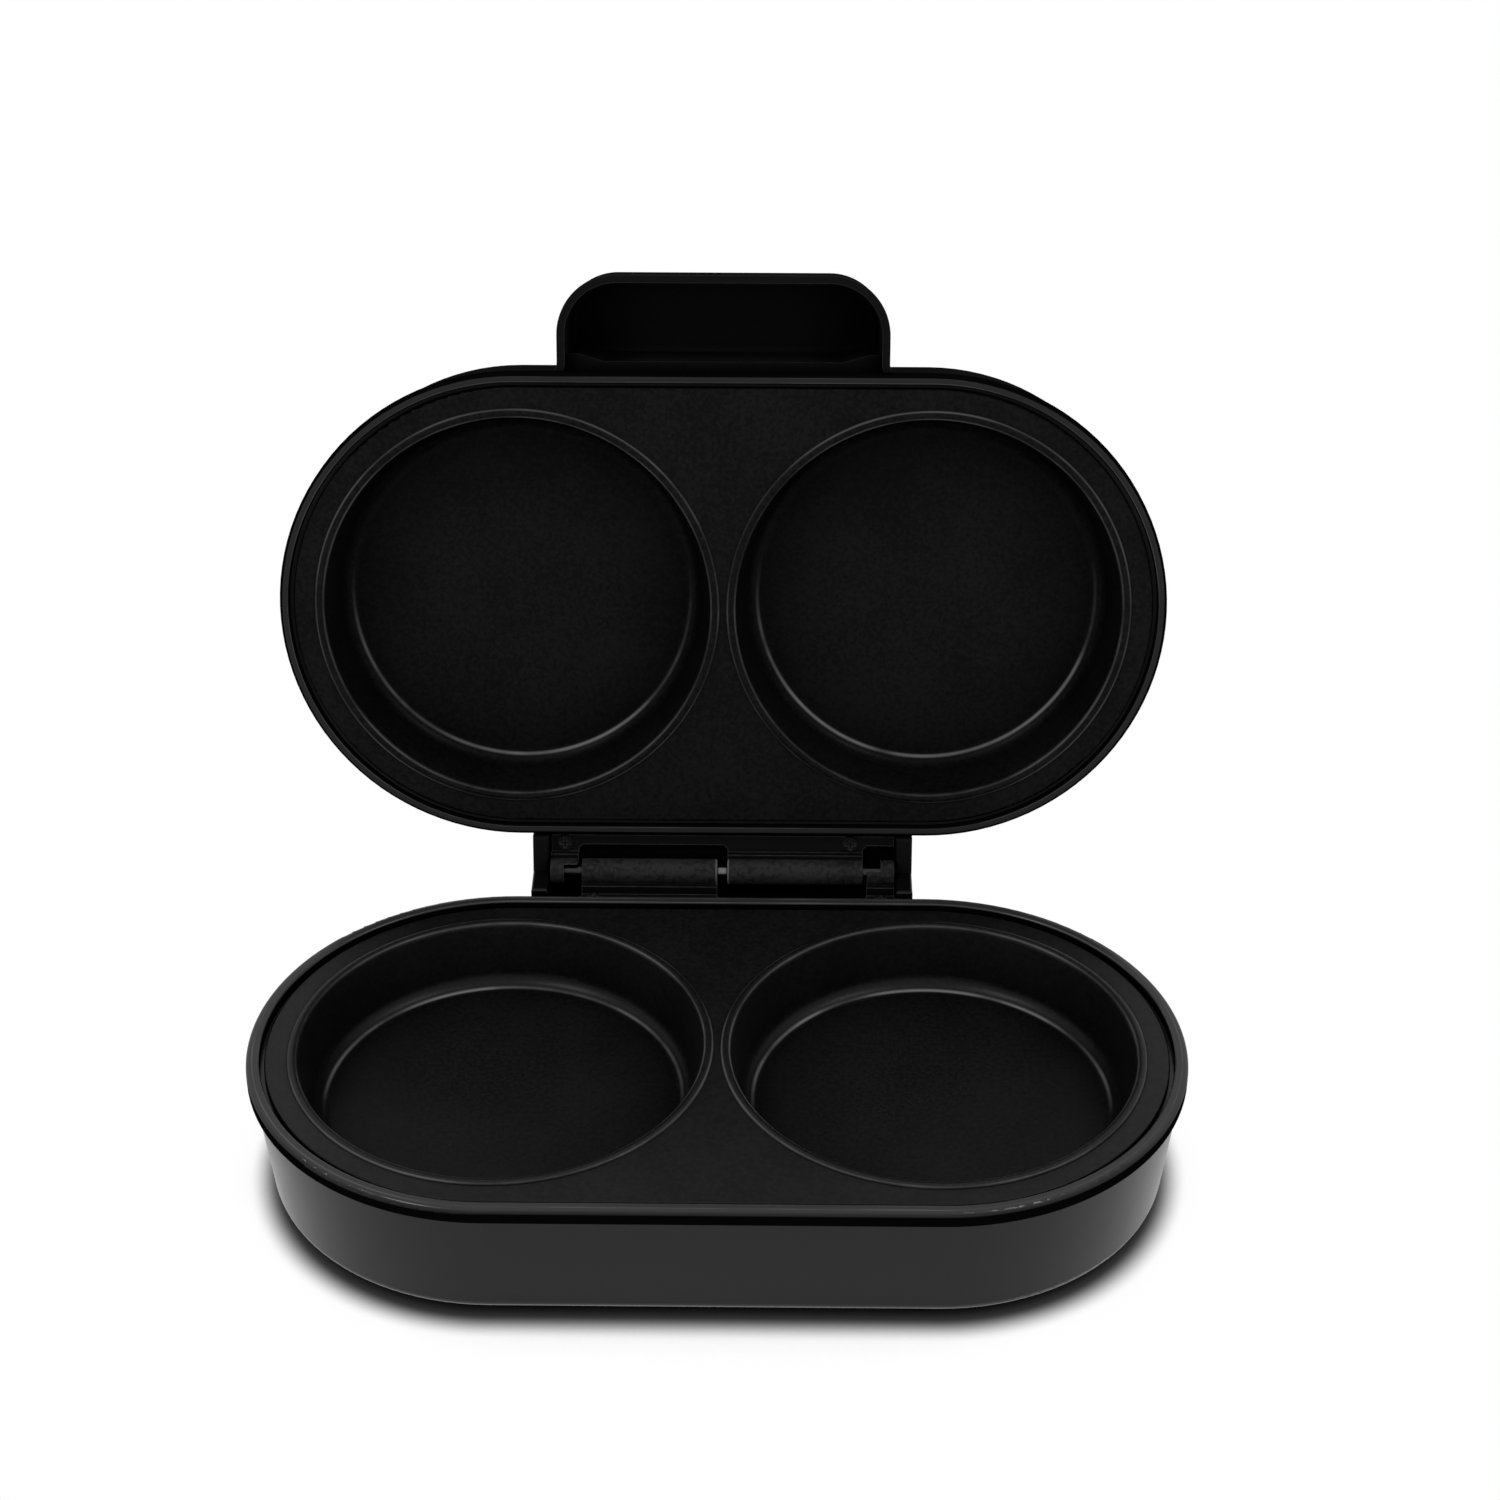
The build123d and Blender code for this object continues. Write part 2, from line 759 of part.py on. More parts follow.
def handle_hood():
    """Hood-shaped handle that seats on the shell's drafted wall."""
    face = lid.face
    with BuildPart() as hood:
        with BuildSketch(face.offset(-seat_drop)):
            add(handle_outline(0))
        extrude(amount=seat_drop - handle_depth, taper=handle_draft)
        fillet(end_face(hood, face, 0).edges(), radius=handle_edge_radius)
        with BuildSketch(face.offset(-seat_drop)):
            add(handle_outline(0))
        extrude(amount=seat_drop - handle_edge_drop)

        # seat on the shell's wall, and room for the trim ring's skirt
        add(drafted(lid, shell_outline(lid, 0), shell_height, lid.edge_radius), mode=Mode.SUBTRACT)
        with BuildSketch(face.offset(-skirt_drop)):
            track(-body_gap)
        extrude(amount=skirt_drop, mode=Mode.SUBTRACT)

        # finger hollow, and the root shelf between it and the shell
        add(handle_hollow(face), mode=Mode.SUBTRACT)
        with BuildSketch(face.offset(-handle_root_drop)):
            add(handle_outline(handle_wall))
        extrude(amount=handle_root_drop, mode=Mode.SUBTRACT)

        # holes for the screws that come through the shell's wall
        for plane in handle_screws():
            with BuildSketch(plane):
                Circle(screw_radius + fit)
            extrude(amount=-wall_across(lid) - handle_screw_bite, mode=Mode.SUBTRACT)
    return hood.part


def foot(x, y):
    """Rubber foot: a disc let into the floor, with a barbed stem pushed through it."""
    recess = -shell_depth + foot_recess
    with BuildPart() as pad:
        with BuildSketch(above(base_face, x, y, -face_height)):
            Circle(foot_radius)
        extrude(amount=foot_height + foot_recess)
        fillet(end_face(pad, base_face, 0).edges(), radius=foot_round)
        with BuildSketch(above(base_face, x, y, recess)):
            Circle(foot_stem_radius)
        extrude(amount=shell_wall - foot_recess + foot_barb_height)
        with BuildSketch(above(base_face, x, y, -floor_drop)):
            Circle(foot_stem_radius + foot_barb)
        extrude(amount=foot_barb_height, taper=base_draft)
    return pad.part


def inlet_plane():
    """Plane of the cord inlet on the tower's drafted rear wall."""
    return wall_plane(base, inlet_x, inlet_drop, tower_back, 1)


def inlet_bush():
    """Rubber bush with a flange outside the wall and a lip inside it."""
    wall = inlet_plane()
    through = wall_across(base)
    with BuildPart() as bush:
        with BuildSketch(wall):
            Circle(inlet_flange_radius)
        extrude(amount=inlet_flange)
        outer = bush.faces().sort_by(Axis(wall.origin, wall.z_dir))[-1]
        fillet(outer.edges(), radius=inlet_round)
        with BuildSketch(wall):
            Circle(inlet_body_radius)
        extrude(amount=-through)
        with BuildSketch(wall.offset(-through)):
            Circle(inlet_lip_radius)
        extrude(amount=-inlet_lip)
        with BuildSketch(wall):
            Circle(inlet_bore_radius)
        extrude(amount=through + inlet_flange + inlet_lip, both=True, mode=Mode.SUBTRACT)
    return bush.part


def thermostat_pads():
    """Outline of the pad that the thermostat and its two ears sit on."""
    with BuildSketch() as outline:
        with Locations((0, thermostat_y)):
            Circle(thermostat_radius)
            SlotCenterToCenter(2 * ear_reach, ear_width)
    return outline.sketch


def thermostat_planes():
    """Planes under the heads of the thermostat's two screws, which point down."""
    drop = plate_thickness + thermostat_pad + ear_thickness
    return [under(x, thermostat_y, drop) for x in (-ear_reach, ear_reach)]


def under(x, y, drop, face=base_face):
    """Plane below a point of the face that looks away from it."""
    return Plane(face.from_local_coords((x, y, -drop)), x_dir=face.x_dir, z_dir=-face.z_dir)


def thermostat():
    """Round snap-action thermostat with two ears and two blade terminals."""
    top = plate_thickness + thermostat_pad
    with BuildPart() as body:
        with BuildSketch(base_face.offset(-top)):
            with Locations((0, thermostat_y)):
                SlotCenterToCenter(2 * ear_reach, ear_width)
            with Locations((-ear_reach, thermostat_y), (ear_reach, thermostat_y)):
                Circle(screw_radius + fit, mode=Mode.SUBTRACT)
        extrude(amount=-ear_thickness)
        with BuildSketch(base_face.offset(-top)):
            with Locations((0, thermostat_y)):
                Circle(thermostat_radius)
        extrude(amount=-thermostat_height)
        with BuildSketch(base_face.offset(-top - thermostat_height)):
            with Locations((0, thermostat_y)):
                with GridLocations(blade_spacing, blade_spacing, 2, 1):
                    Rectangle(blade_thickness, blade_width)
        extrude(amount=-blade_length)
    return body.part


def fuse_section(inner, outer, foot_reach):
    """Section across the fuse: a half-round strap with a flat foot on either side."""
    centre = (fuse_y, -plate_thickness - fuse_pad)
    with BuildSketch() as section:
        with Locations(centre):
            Circle(outer)
            Rectangle(2 * outer, outer, align=(Align.CENTER, Align.MIN), mode=Mode.SUBTRACT)
            Rectangle(2 * foot_reach, clip_thickness, align=(Align.CENTER, Align.MAX))
            Circle(inner, mode=Mode.SUBTRACT)
    return section.sketch


def thermal_fuse():
    """Axial thermal fuse that lies along the cooker in a groove under the plate."""
    with BuildPart() as fuse:
        with BuildSketch(across(base_face, -fuse_length / 2)):
            with Locations((fuse_y, -plate_thickness - fuse_pad)):
                Circle(fuse_radius)
        extrude(amount=fuse_length)
        fillet(fuse.edges().filter_by(GeomType.CIRCLE), radius=knuckle_round)
    return fuse.part


def fuse_clip():
    """Strap that holds the fuse in its groove."""
    reach = fuse_radius + fit + clip_thickness + clip_foot
    with BuildPart() as clip:
        with BuildSketch(across(base_face, -clip_width / 2)):
            add(fuse_section(fuse_radius + fit, fuse_radius + fit + clip_thickness, reach))
        extrude(amount=clip_width)
        with BuildSketch(base_face.offset(-plate_thickness - fuse_pad)):
            with Locations(*clip_screws):
                Circle(screw_radius + fit)
        extrude(amount=-clip_thickness, mode=Mode.SUBTRACT)
    return clip.part


def base_plate():
    """The base's cooking plate, with pads for the thermostat and the thermal fuse."""
    fuse_width = 2 * (fuse_radius + fit + clip_thickness + clip_foot)
    with BuildPart() as plate:
        add(cooking_plate(base_face))
        with BuildSketch(base_face.offset(-plate_thickness)):
            add(thermostat_pads())
        extrude(amount=-thermostat_pad)
        with BuildSketch(base_face.offset(-plate_thickness)):
            with Locations((0, fuse_y)):
                Rectangle(fuse_length, fuse_width)
        extrude(amount=-fuse_pad)
        with BuildSketch(across(base_face, -fuse_length)):
            with Locations((fuse_y, -plate_thickness - fuse_pad)):
                Circle(fuse_radius + fit)
        extrude(amount=2 * fuse_length, mode=Mode.SUBTRACT)
        with BuildSketch(base_face.offset(-plate_thickness - thermostat_pad)):
            with Locations((-ear_reach, thermostat_y), (ear_reach, thermostat_y)):
                Circle(screw_radius + fit)
        extrude(amount=short_bite, mode=Mode.SUBTRACT)
        with BuildSketch(base_face.offset(-plate_thickness - fuse_pad)):
            with Locations(*clip_screws):
                Circle(screw_radius + fit)
        extrude(amount=short_bite, mode=Mode.SUBTRACT)
    return plate.part


def terminal_block():
    """Block that joins the cord to the leads: ports along the leads, a screw over each."""
    floor = -floor_drop + block_lift
    with BuildPart() as block:
        with BuildSketch(above(base_face, 0, block_y, floor)):
            Rectangle(block_length + 2 * block_ear, block_width)
            with Locations(*block_screws):
                Circle(screw_radius + fit, mode=Mode.SUBTRACT)
        extrude(amount=block_ear_height)
        with BuildSketch(above(base_face, 0, block_y, floor)):
            Rectangle(block_length, block_width)
        extrude(amount=block_height)
        with BuildSketch(above(base_face, 0, block_y, floor + block_height)):
            with GridLocations(port_spacing, port_spacing, port_count, 1):
                Circle(screw_radius)
        extrude(amount=-port_screw_depth, mode=Mode.SUBTRACT)
        ports = base_face.from_local_coords((0, block_y, floor + block_height / 2))
        with BuildSketch(Plane(ports, x_dir=base_face.x_dir, z_dir=base_face.y_dir)):
            with GridLocations(port_spacing, port_spacing, port_count, 1):
                Circle(port_radius)
        extrude(amount=block_width, both=True, mode=Mode.SUBTRACT)
    return block.part


def base_housing():
    """The base's shell, with seats for the feet, cord bush and terminal block, and vents."""
    with BuildPart() as shell:
        add(moulded_shell(base))
        for x, y in foot_points.values():
            with BuildSketch(above(base_face, x, y, -shell_depth)):
                Circle(foot_radius + fit)
            extrude(amount=foot_recess, mode=Mode.SUBTRACT)
            with BuildSketch(above(base_face, x, y, -shell_depth)):
                Circle(foot_stem_radius + fit)
            extrude(amount=shell_wall, mode=Mode.SUBTRACT)
        with BuildSketch(inlet_plane()):
            Circle(inlet_body_radius + fit)
        extrude(amount=-shell_wall, both=True, mode=Mode.SUBTRACT)
        with BuildSketch(above(base_face, 0, block_y, -floor_drop)):
            with Locations(*block_screws):
                Circle(block_boss_radius)
                Circle(screw_radius + fit, mode=Mode.SUBTRACT)
        extrude(amount=block_lift)
        with BuildSketch(base_face.offset(-shell_depth)):
            with GridLocations(vent_length, vent_spacing, 1, vent_count):
                SlotOverall(vent_length, vent_width)
        extrude(amount=shell_wall, mode=Mode.SUBTRACT)
    return shell.part


def lamp_holder():
    """Bracket that stands the two lamps behind their lenses."""
    with BuildPart() as holder:
        with BuildSketch(above(lid_face, 0, lamp_y, -floor_drop)):
            RectangleRounded(holder_length, holder_width, holder_corner)
        extrude(amount=holder_height)
        with BuildSketch(lid_face.offset(-floor_drop)):
            with Locations(*lamp_points):
                Circle(lens_radius + fit)
        extrude(amount=lens_depth - shell_wall + body_gap, mode=Mode.SUBTRACT)
        with BuildSketch(lid_face.offset(-floor_drop)):
            with Locations(*lamp_points):
                Circle(lamp_radius + fit)
            with Locations((0, lamp_y)):
                Circle(screw_radius + fit)
        extrude(amount=holder_height, mode=Mode.SUBTRACT)
        with BuildSketch(above(lid_face, 0, lamp_y, -floor_drop)):
            Circle(lamp_boss_radius + fit)
        extrude(amount=lamp_boss_height, mode=Mode.SUBTRACT)
    return holder.part


def lens(x):
    """Domed lens with a small flange, pushed into the lid from outside."""
    with BuildPart() as dome:
        with BuildSketch(above(lid_face, x, lamp_y, -shell_depth)):
            Circle(lens_radius + lens_flange)
        extrude(amount=-lens_rise)
        fillet(end_face(dome, lid_face, 0).edges(), radius=lens_dome)
        with BuildSketch(above(lid_face, x, lamp_y, -shell_depth)):
            Circle(lens_radius)
        extrude(amount=lens_depth)
    return dome.part


def lamp(x):
    """Small round lamp with a domed end that points at its lens."""
    with BuildPart() as bulb:
        with BuildSketch(above(lid_face, x, lamp_y, -shell_depth + lens_depth + body_gap)):
            Circle(lamp_radius)
        extrude(amount=lamp_length)
        fillet(end_face(bulb, lid_face, 0).edges(), radius=lens_dome)
    return bulb.part


def lid_housing():
    """The lid's shell, with openings for the lenses and holes for the handle's screws."""
    with BuildPart() as shell:
        add(moulded_shell(lid))
        with BuildSketch(lid_face.offset(-shell_depth)):
            with Locations(*lamp_points):
                Circle(lens_radius + fit)
        extrude(amount=shell_wall, mode=Mode.SUBTRACT)
        with BuildSketch(above(lid_face, 0, lamp_y, -floor_drop)):
            Circle(lamp_boss_radius)
            Circle(screw_radius + fit, mode=Mode.SUBTRACT)
        extrude(amount=lamp_boss_height)
        for plane in handle_screws():
            with BuildSketch(plane):
                Circle(screw_radius + fit)
            extrude(amount=-shell_wall, mode=Mode.SUBTRACT)
    return shell.part


def hinge_pin():
    """Pin through every knuckle of both leaves."""
    with BuildPart() as pin:
        with BuildSketch(across(base_face)):
            with Locations((axis_y, axis_rise)):
                Circle(pin_radius)
        extrude(amount=hook_end + fit, both=True)
        fillet(pin.edges().filter_by(GeomType.CIRCLE), radius=pin_end_round)
    return pin.part


os.makedirs("parts", exist_ok=True)

# Pieces that both halves have
for name, half, notched in (("base", base, False), ("lid", lid, True)):
    face = half.face
    save(trim_ring(half), f"{name}_trim_ring")
    save(element(face, element_radius), f"{name}_element")
    seals = element_ends(face, element_radius, lead_end, seal_length, tip_radius + fit)
    save(seals, f"{name}_element_seals")
    save(element_ends(face, tip_radius, lead_end, seal_length + tip_length), f"{name}_element_pins")
    save(heat_shield(face, notched), f"{name}_heat_shield")
    save(hinge_leaf(face), f"{name}_hinge_leaf")
    heads = [under(x, y, seat_drop, face) for x, y in boss_points]
    length = seat_drop - plate_boss_drop + plate_screw_bite
    save(screws(heads, washer_head_radius, washer_head_height, length), f"{name}_plate_screws")
    heads = [above(face, x, y, shield_thickness - shield_drop) for x, y in well_centres]
    length = shield_thickness + short_bite
    save(screws(heads, screw_head_radius, screw_head_height, length), f"{name}_shield_screws")
    heads = [above(face, x, y, -leaf_drop) for x, y in leaf_screws]
    save(screws(heads, screw_head_radius, screw_head_height, screw_length), f"{name}_hinge_screws")

# Pieces of the base
save(base_housing(), "base_housing")
save(base_plate(), "base_plate")
save(hinge_pin(), "hinge_pin")
save(inlet_bush(), "inlet_bush")
save(thermostat(), "thermostat")
length = ear_thickness + short_bite
save(screws(thermostat_planes(), screw_head_radius, screw_head_height, length), "thermostat_screws")
save(thermal_fuse(), "thermal_fuse")
save(fuse_clip(), "fuse_clip")
heads = [under(x, y, plate_thickness + fuse_pad + clip_thickness) for x, y in clip_screws]
length = clip_thickness + short_bite
save(screws(heads, screw_head_radius, screw_head_height, length), "fuse_clip_screws")
save(terminal_block(), "terminal_block")
floor = block_lift + block_ear_height - floor_drop
heads = [above(base_face, x, block_y, floor) for x, y in block_screws]
length = block_ear_height + short_bite
save(screws(heads, screw_head_radius, screw_head_height, length), "terminal_block_screws")
for corner, (x, y) in foot_points.items():
    save(foot(x, y), f"{corner}_foot")

# Pieces of the lid
save(lid_housing(), "lid_housing")
save(cooking_plate(lid_face), "lid_plate")
save(handle_hood(), "handle")
length = wall_across(lid) + handle_screw_bite - body_gap
save(screws(handle_screws(), screw_head_radius, screw_head_height, length), "handle_screws")
save(lamp_holder(), "lamp_holder")
holder_head = [above(lid_face, 0, lamp_y, holder_height - floor_drop)]
save(screws(holder_head, screw_head_radius, screw_head_height, screw_length), "lamp_holder_screw")
for name, (x, y) in zip(("power", "ready"), lamp_points):
    save(lens(x), f"{name}_lens")
    save(lamp(x), f"{name}_lamp")
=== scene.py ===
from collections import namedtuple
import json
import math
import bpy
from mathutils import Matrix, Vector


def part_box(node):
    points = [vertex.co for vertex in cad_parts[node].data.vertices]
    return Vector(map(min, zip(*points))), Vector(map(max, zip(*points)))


bl_info = {
    "name": "Twin-well cooker finish",
    "version": (1, 0, 0),
    "blender": (4, 5, 0),
    "location": "View3D > Sidebar > Cooker",
    "description": "Gives a twin-well countertop cooker its finishes, light and camera",
    "category": "Object",
}

import bpy
from mathutils import Matrix, Vector

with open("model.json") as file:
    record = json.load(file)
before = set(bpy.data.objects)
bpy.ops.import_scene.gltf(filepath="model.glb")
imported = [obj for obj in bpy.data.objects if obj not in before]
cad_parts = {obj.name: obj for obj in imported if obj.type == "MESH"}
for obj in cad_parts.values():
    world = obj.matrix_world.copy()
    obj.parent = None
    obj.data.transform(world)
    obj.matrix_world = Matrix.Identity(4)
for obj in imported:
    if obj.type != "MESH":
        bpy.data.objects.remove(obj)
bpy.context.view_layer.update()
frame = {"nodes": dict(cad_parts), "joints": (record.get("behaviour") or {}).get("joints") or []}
MM = 0.001

# Sizes of the part that its boxes don't give
SKIRT_DROP = 2.7 * MM
WELL_MARGIN = 7.8 * MM
WELL_TAPER = 3.4 * MM
CORNER_RADIUS = 4.0 * MM
BEAD_WIDTH = 2.4 * MM
BARREL_RADIUS = 3.25 * MM

# Where the two halves lie, read from the frame: the rim, the flat of the plates and the hinge
RING_LOW, RING_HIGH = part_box("base_trim_ring")
RIM_HALF = (RING_HIGH.y - RING_LOW.y) / 2
WELL_SPACING = RING_HIGH.x - RING_LOW.x - 2 * RIM_HALF
CENTRE_Y = (RING_HIGH.y + RING_LOW.y) / 2
FACE_Z = RING_LOW.z + SKIRT_DROP
PLATE_LOW, PLATE_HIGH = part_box("base_plate")
PLATE_HALF = (PLATE_HIGH.y - PLATE_LOW.y) / 2
MOUTH_RADIUS = PLATE_HALF - WELL_MARGIN
HINGE = Vector(frame["joints"][0]["pos_m"])
OPEN_ANGLE = math.radians(frame["joints"][0]["range_deg"][1])

# Colours that no user would change
# Painted shade laid into the housings' recesses
PAINTED_HOLLOW_SHADE = (0.0004, 0.0004, 0.0004)
# Painted shade laid inside the plates' wells
SHADED_PLATE = (0.0005, 0.0005, 0.0005)
# Paler edge colours: partly wearing, partly a painted highlight along the edges
WORN_AND_LIT_PLASTIC = (0.035, 0.035, 0.036)
WORN_AND_LIT_TRIM = (0.02, 0.02, 0.021)
WORN_AND_LIT_COATING = (0.03, 0.03, 0.03)
WORN_AND_LIT_PAINT = (0.08, 0.08, 0.08)
# Painted highlight at the knuckles' ends beside the middle gap
PAINTED_KNUCKLE_GLINT = (0.1, 0.1, 0.102)
PIN_STEEL = (0.03, 0.03, 0.031)
# Paler edge colour of the pin: partly wearing, partly a painted highlight
WORN_AND_LIT_PIN = (0.3, 0.3, 0.3)
# Painted highlight on the pin in the middle gap
PAINTED_PIN_GLINT = (0.13, 0.13, 0.133)

# Lamps, each with its name, place, side and power
LAMPS = (("key", (-0.9, -0.7, 1.6), 0.45, 8.0), ("fill", (0.9, -0.3, 1.5), 0.4, 5.0))
LAMP_TARGET = (0.0, 0.0, 0.08)
FLOOR_REACH = 4.0


def face_matrix(half):
    """Matrix of a half's face: X along the cooker, Y towards the hinge, Z out of the wells."""
    base = Matrix.Translation((0, CENTRE_Y, FACE_Z))
    if half == "base":
        return base
    turn = Matrix.Rotation(math.pi, 4, "Y")
    closed = Matrix.Translation((0, CENTRE_Y, 2 * HINGE.z - FACE_Z)) @ turn
    lean = Matrix.Rotation(-OPEN_ANGLE, 4, "X")
    return Matrix.Translation(HINGE) @ lean @ Matrix.Translation(-HINGE) @ closed


# Properties: the sizes and colours that a user would change


def length(name, description, millimetres):
    """A size in metres whose default is given in millimetres."""
    return bpy.props.FloatProperty(
        name=name, description=description, default=millimetres * MM, min=0.0,
        precision=5, subtype="DISTANCE",
    )


def angle(name, description, degrees):
    """An angle whose default is given in degrees."""
    return bpy.props.FloatProperty(
        name=name, description=description, default=math.radians(degrees), subtype="ANGLE"
    )


def colour(name, description, rgb):
    """A linear colour."""
    return bpy.props.FloatVectorProperty(
        name=name, description=description, default=rgb, size=3,
        min=0.0, max=1.0, subtype="COLOR",
    )


def share(name, description, value):
    """A share from nothing to all."""
    return bpy.props.FloatProperty(
        name=name, description=description, default=value, min=0.0, max=1.0, subtype="FACTOR"
    )


class COOKER_PG_finish(bpy.types.PropertyGroup):
    """Colours, line widths and surface qualities of the finishes."""

    shell: colour("Housing", "Moulded black base housing", (0.002, 0.002, 0.0022))
    dull: colour("Dull housing", "Lid housing and handle", (0.006, 0.006, 0.0064))
    rim: colour("Trim ring", "Skirt of the trim rings", (0.0012, 0.0012, 0.0013))
    # painted highlight: paler colour laid on the trim rings' crown
    rubbed: colour("Highlight", "Crown of the trim rings, rubbed paler", (0.021, 0.021, 0.022))
    plate: colour("Non-stick", "Matte coating of the plates", (0.0014, 0.0014, 0.0015))
    # painted highlight lines along the beads and on the trim crowns
    bead: colour("Bead", "Rubbed lines along the beads", (0.07, 0.07, 0.072))
    # painted highlight line at the foot of a well's wall
    corner: colour("Corner", "Rubbed line at the foot of a well's wall", (0.16, 0.16, 0.164))
    leaf: colour("Hinge paint", "Leaves and their screws", (0.0035, 0.0035, 0.0037))
    knuckle: colour("Knuckles", "Paint rubbed thin round the pin", (0.019, 0.019, 0.0195))
    rubber: colour("Rubber", "Feet and cord bush", (0.035, 0.035, 0.035))
    crown_line: length("Crown line", "Width of the lines on the trim rings", 0.3)
    bead_line: length("Bead line", "Width of the lines along the beads", 0.35)
    corner_line: length("Corner line", "Width of the lines at the wells' corners", 0.6)
    gloss: share("Housing gloss", "Weight of the housings' glossy skin", 0.38)
    trim_gloss: share("Trim gloss", "Weight of the base ring's glossy skin", 0.5)
    skin_roughness: share("Skin roughness", "How dull the glossy skin is", 0.2)
    plate_roughness: share("Plate roughness", "How dull the coating is", 0.36)
    base_sheen: share("Base sheen", "Weight of the sheen on the base's plate", 0.36)
    lid_sheen: share("Lid sheen", "Weight of the sheen on the lid's plate", 0.07)


class COOKER_PG_studio(bpy.types.PropertyGroup):
    """Camera, light and floor."""

    lens: bpy.props.FloatProperty(
        name="Lens", description="Focal length of the camera", default=75.62, unit="CAMERA"
    )
    azimuth: angle("Azimuth", "Turn of the camera round the cooker", 0.597)
    elevation: angle("Elevation", "Height of the camera above the horizon", 33.057)
    roll: angle("Roll", "Turn of the camera about its own axis", 0.066)
    place: bpy.props.FloatVectorProperty(
        name="Place", description="Camera's place from the middle of the base's face",
        default=(0.0141, -0.5981, 0.4748), size=3, subtype="TRANSLATION",
    )
    ambient: share("Ambient", "Strength of the even light from all round", 0.72)
    floor: colour("Floor", "Pale floor", (0.97, 0.97, 0.97))
    shadow_inset: length("Shadow inset", "How far inside the rim the shadow is darkest", 5.6)
    shadow_width: length("Shadow width", "How far it spreads from there", 8.0)
    shadow_reach: length("Shadow reach", "Up to what height the cooker darkens the floor", 35.0)


# Short ways to place nodes


def math_node(tree, operation, first, second=None, clamp=False):
    """Math node whose inputs are sockets or numbers, and its output socket."""
    node = tree.nodes.new("ShaderNodeMath")
    node.operation = operation
    node.use_clamp = clamp
    for slot, value in enumerate((first, second)):
        if value is None:
            continue
        if isinstance(value, (int, float)):
            node.inputs[slot].default_value = value
        else:
            tree.links.new(value, node.inputs[slot])
    return node.outputs[0]


def rest_of(tree, mask):
    """What a mask leaves out: one less the mask."""
    return math_node(tree, "SUBTRACT", 1.0, mask)


def hypotenuse(tree, first, second):
    """Square root of the sum of two values' squares."""
    squares = [math_node(tree, "MULTIPLY", value, value) for value in (first, second)]
    return math_node(tree, "SQRT", math_node(tree, "ADD", *squares))


def vector_node(tree, operation, first, second):
    """Vector math node on two sockets."""
    node = tree.nodes.new("ShaderNodeVectorMath")
    node.operation = operation
    tree.links.new(first, node.inputs[0])
    tree.links.new(second, node.inputs[1])
    return node


def map_range(tree, value, from_low, from_high, to_low=0.0, to_high=1.0):
    """Smooth, clamped change of a value from one range to another."""
    node = tree.nodes.new("ShaderNodeMapRange")
    node.interpolation_type = "SMOOTHSTEP"
    tree.links.new(value, node.inputs["Value"])
    ends = {"From Min": from_low, "From Max": from_high, "To Min": to_low, "To Max": to_high}
    for label, number in ends.items():
        node.inputs[label].default_value = number
    return node.outputs["Result"]


def noise_node(tree, scale, detail, roughness=0.5):
    """Noise texture on the object's own coordinates; scale is a socket or a number."""
    node = tree.nodes.new("ShaderNodeTexNoise")
    node.inputs["Detail"].default_value = detail
    node.inputs["Roughness"].default_value = roughness
    tree.links.new(object_place(tree), node.inputs["Vector"])
    if isinstance(scale, (int, float)):
        node.inputs["Scale"].default_value = scale
    else:
        tree.links.new(scale, node.inputs["Scale"])
    return node.outputs["Fac"]


def object_place(tree):
    """Place on the surface in the object's own coordinates."""
    return tree.nodes.new("ShaderNodeTexCoord").outputs["Object"]


# Shader groups that more than one finish uses


def new_group(name, inputs, outputs):
    """Empty shader group with named sockets, and its input and output nodes."""
    group = bpy.data.node_groups.new(name, "ShaderNodeTree")
    for label, kind, default in inputs:
        socket = group.interface.new_socket(name=label, in_out="INPUT", socket_type=kind)
        if default is not None:
            socket.default_value = default
    for label, kind in outputs:
        group.interface.new_socket(name=label, in_out="OUTPUT", socket_type=kind)
    return group, group.nodes.new("NodeGroupInput"), group.nodes.new("NodeGroupOutput")


def fine_grain_group():
    """Grain: noise of a set size raises a bump and gives a mask of its high spots."""
    group, enter, leave = new_group(
        "Fine grain",
        [("Grains per metre", "NodeSocketFloat", 1500.0), ("Strength", "NodeSocketFloat", 0.1)],
        [("Normal", "NodeSocketVector"), ("Mask", "NodeSocketFloat")],
    )
    grain = noise_node(group, enter.outputs["Grains per metre"], 3.0, 0.6)
    bump = group.nodes.new("ShaderNodeBump")
    bump.inputs["Distance"].default_value = 0.05 * MM
    group.links.new(enter.outputs["Strength"], bump.inputs["Strength"])
    group.links.new(grain, bump.inputs["Height"])
    group.links.new(bump.outputs["Normal"], leave.inputs["Normal"])
    group.links.new(grain, leave.inputs["Mask"])
    return group


def smudge_group():
    """Smudge: slow noise between two values, for uneven gloss."""
    group, enter, leave = new_group(
        "Smudge",
        [
            ("Patches per metre", "NodeSocketFloat", 30.0),
            ("Low", "NodeSocketFloat", 0.25),
            ("High", "NodeSocketFloat", 0.35),
        ],
        [("Value", "NodeSocketFloat")],
    )
    cloud = noise_node(group, enter.outputs["Patches per metre"], 4.0, 0.65)
    ramp = group.nodes.new("ShaderNodeMapRange")
    ramp.inputs["From Min"].default_value = 0.3
    ramp.inputs["From Max"].default_value = 0.7
    group.links.new(cloud, ramp.inputs["Value"])
    group.links.new(enter.outputs["Low"], ramp.inputs["To Min"])
    group.links.new(enter.outputs["High"], ramp.inputs["To Max"])
    group.links.new(ramp.outputs["Result"], leave.inputs["Value"])
    return group


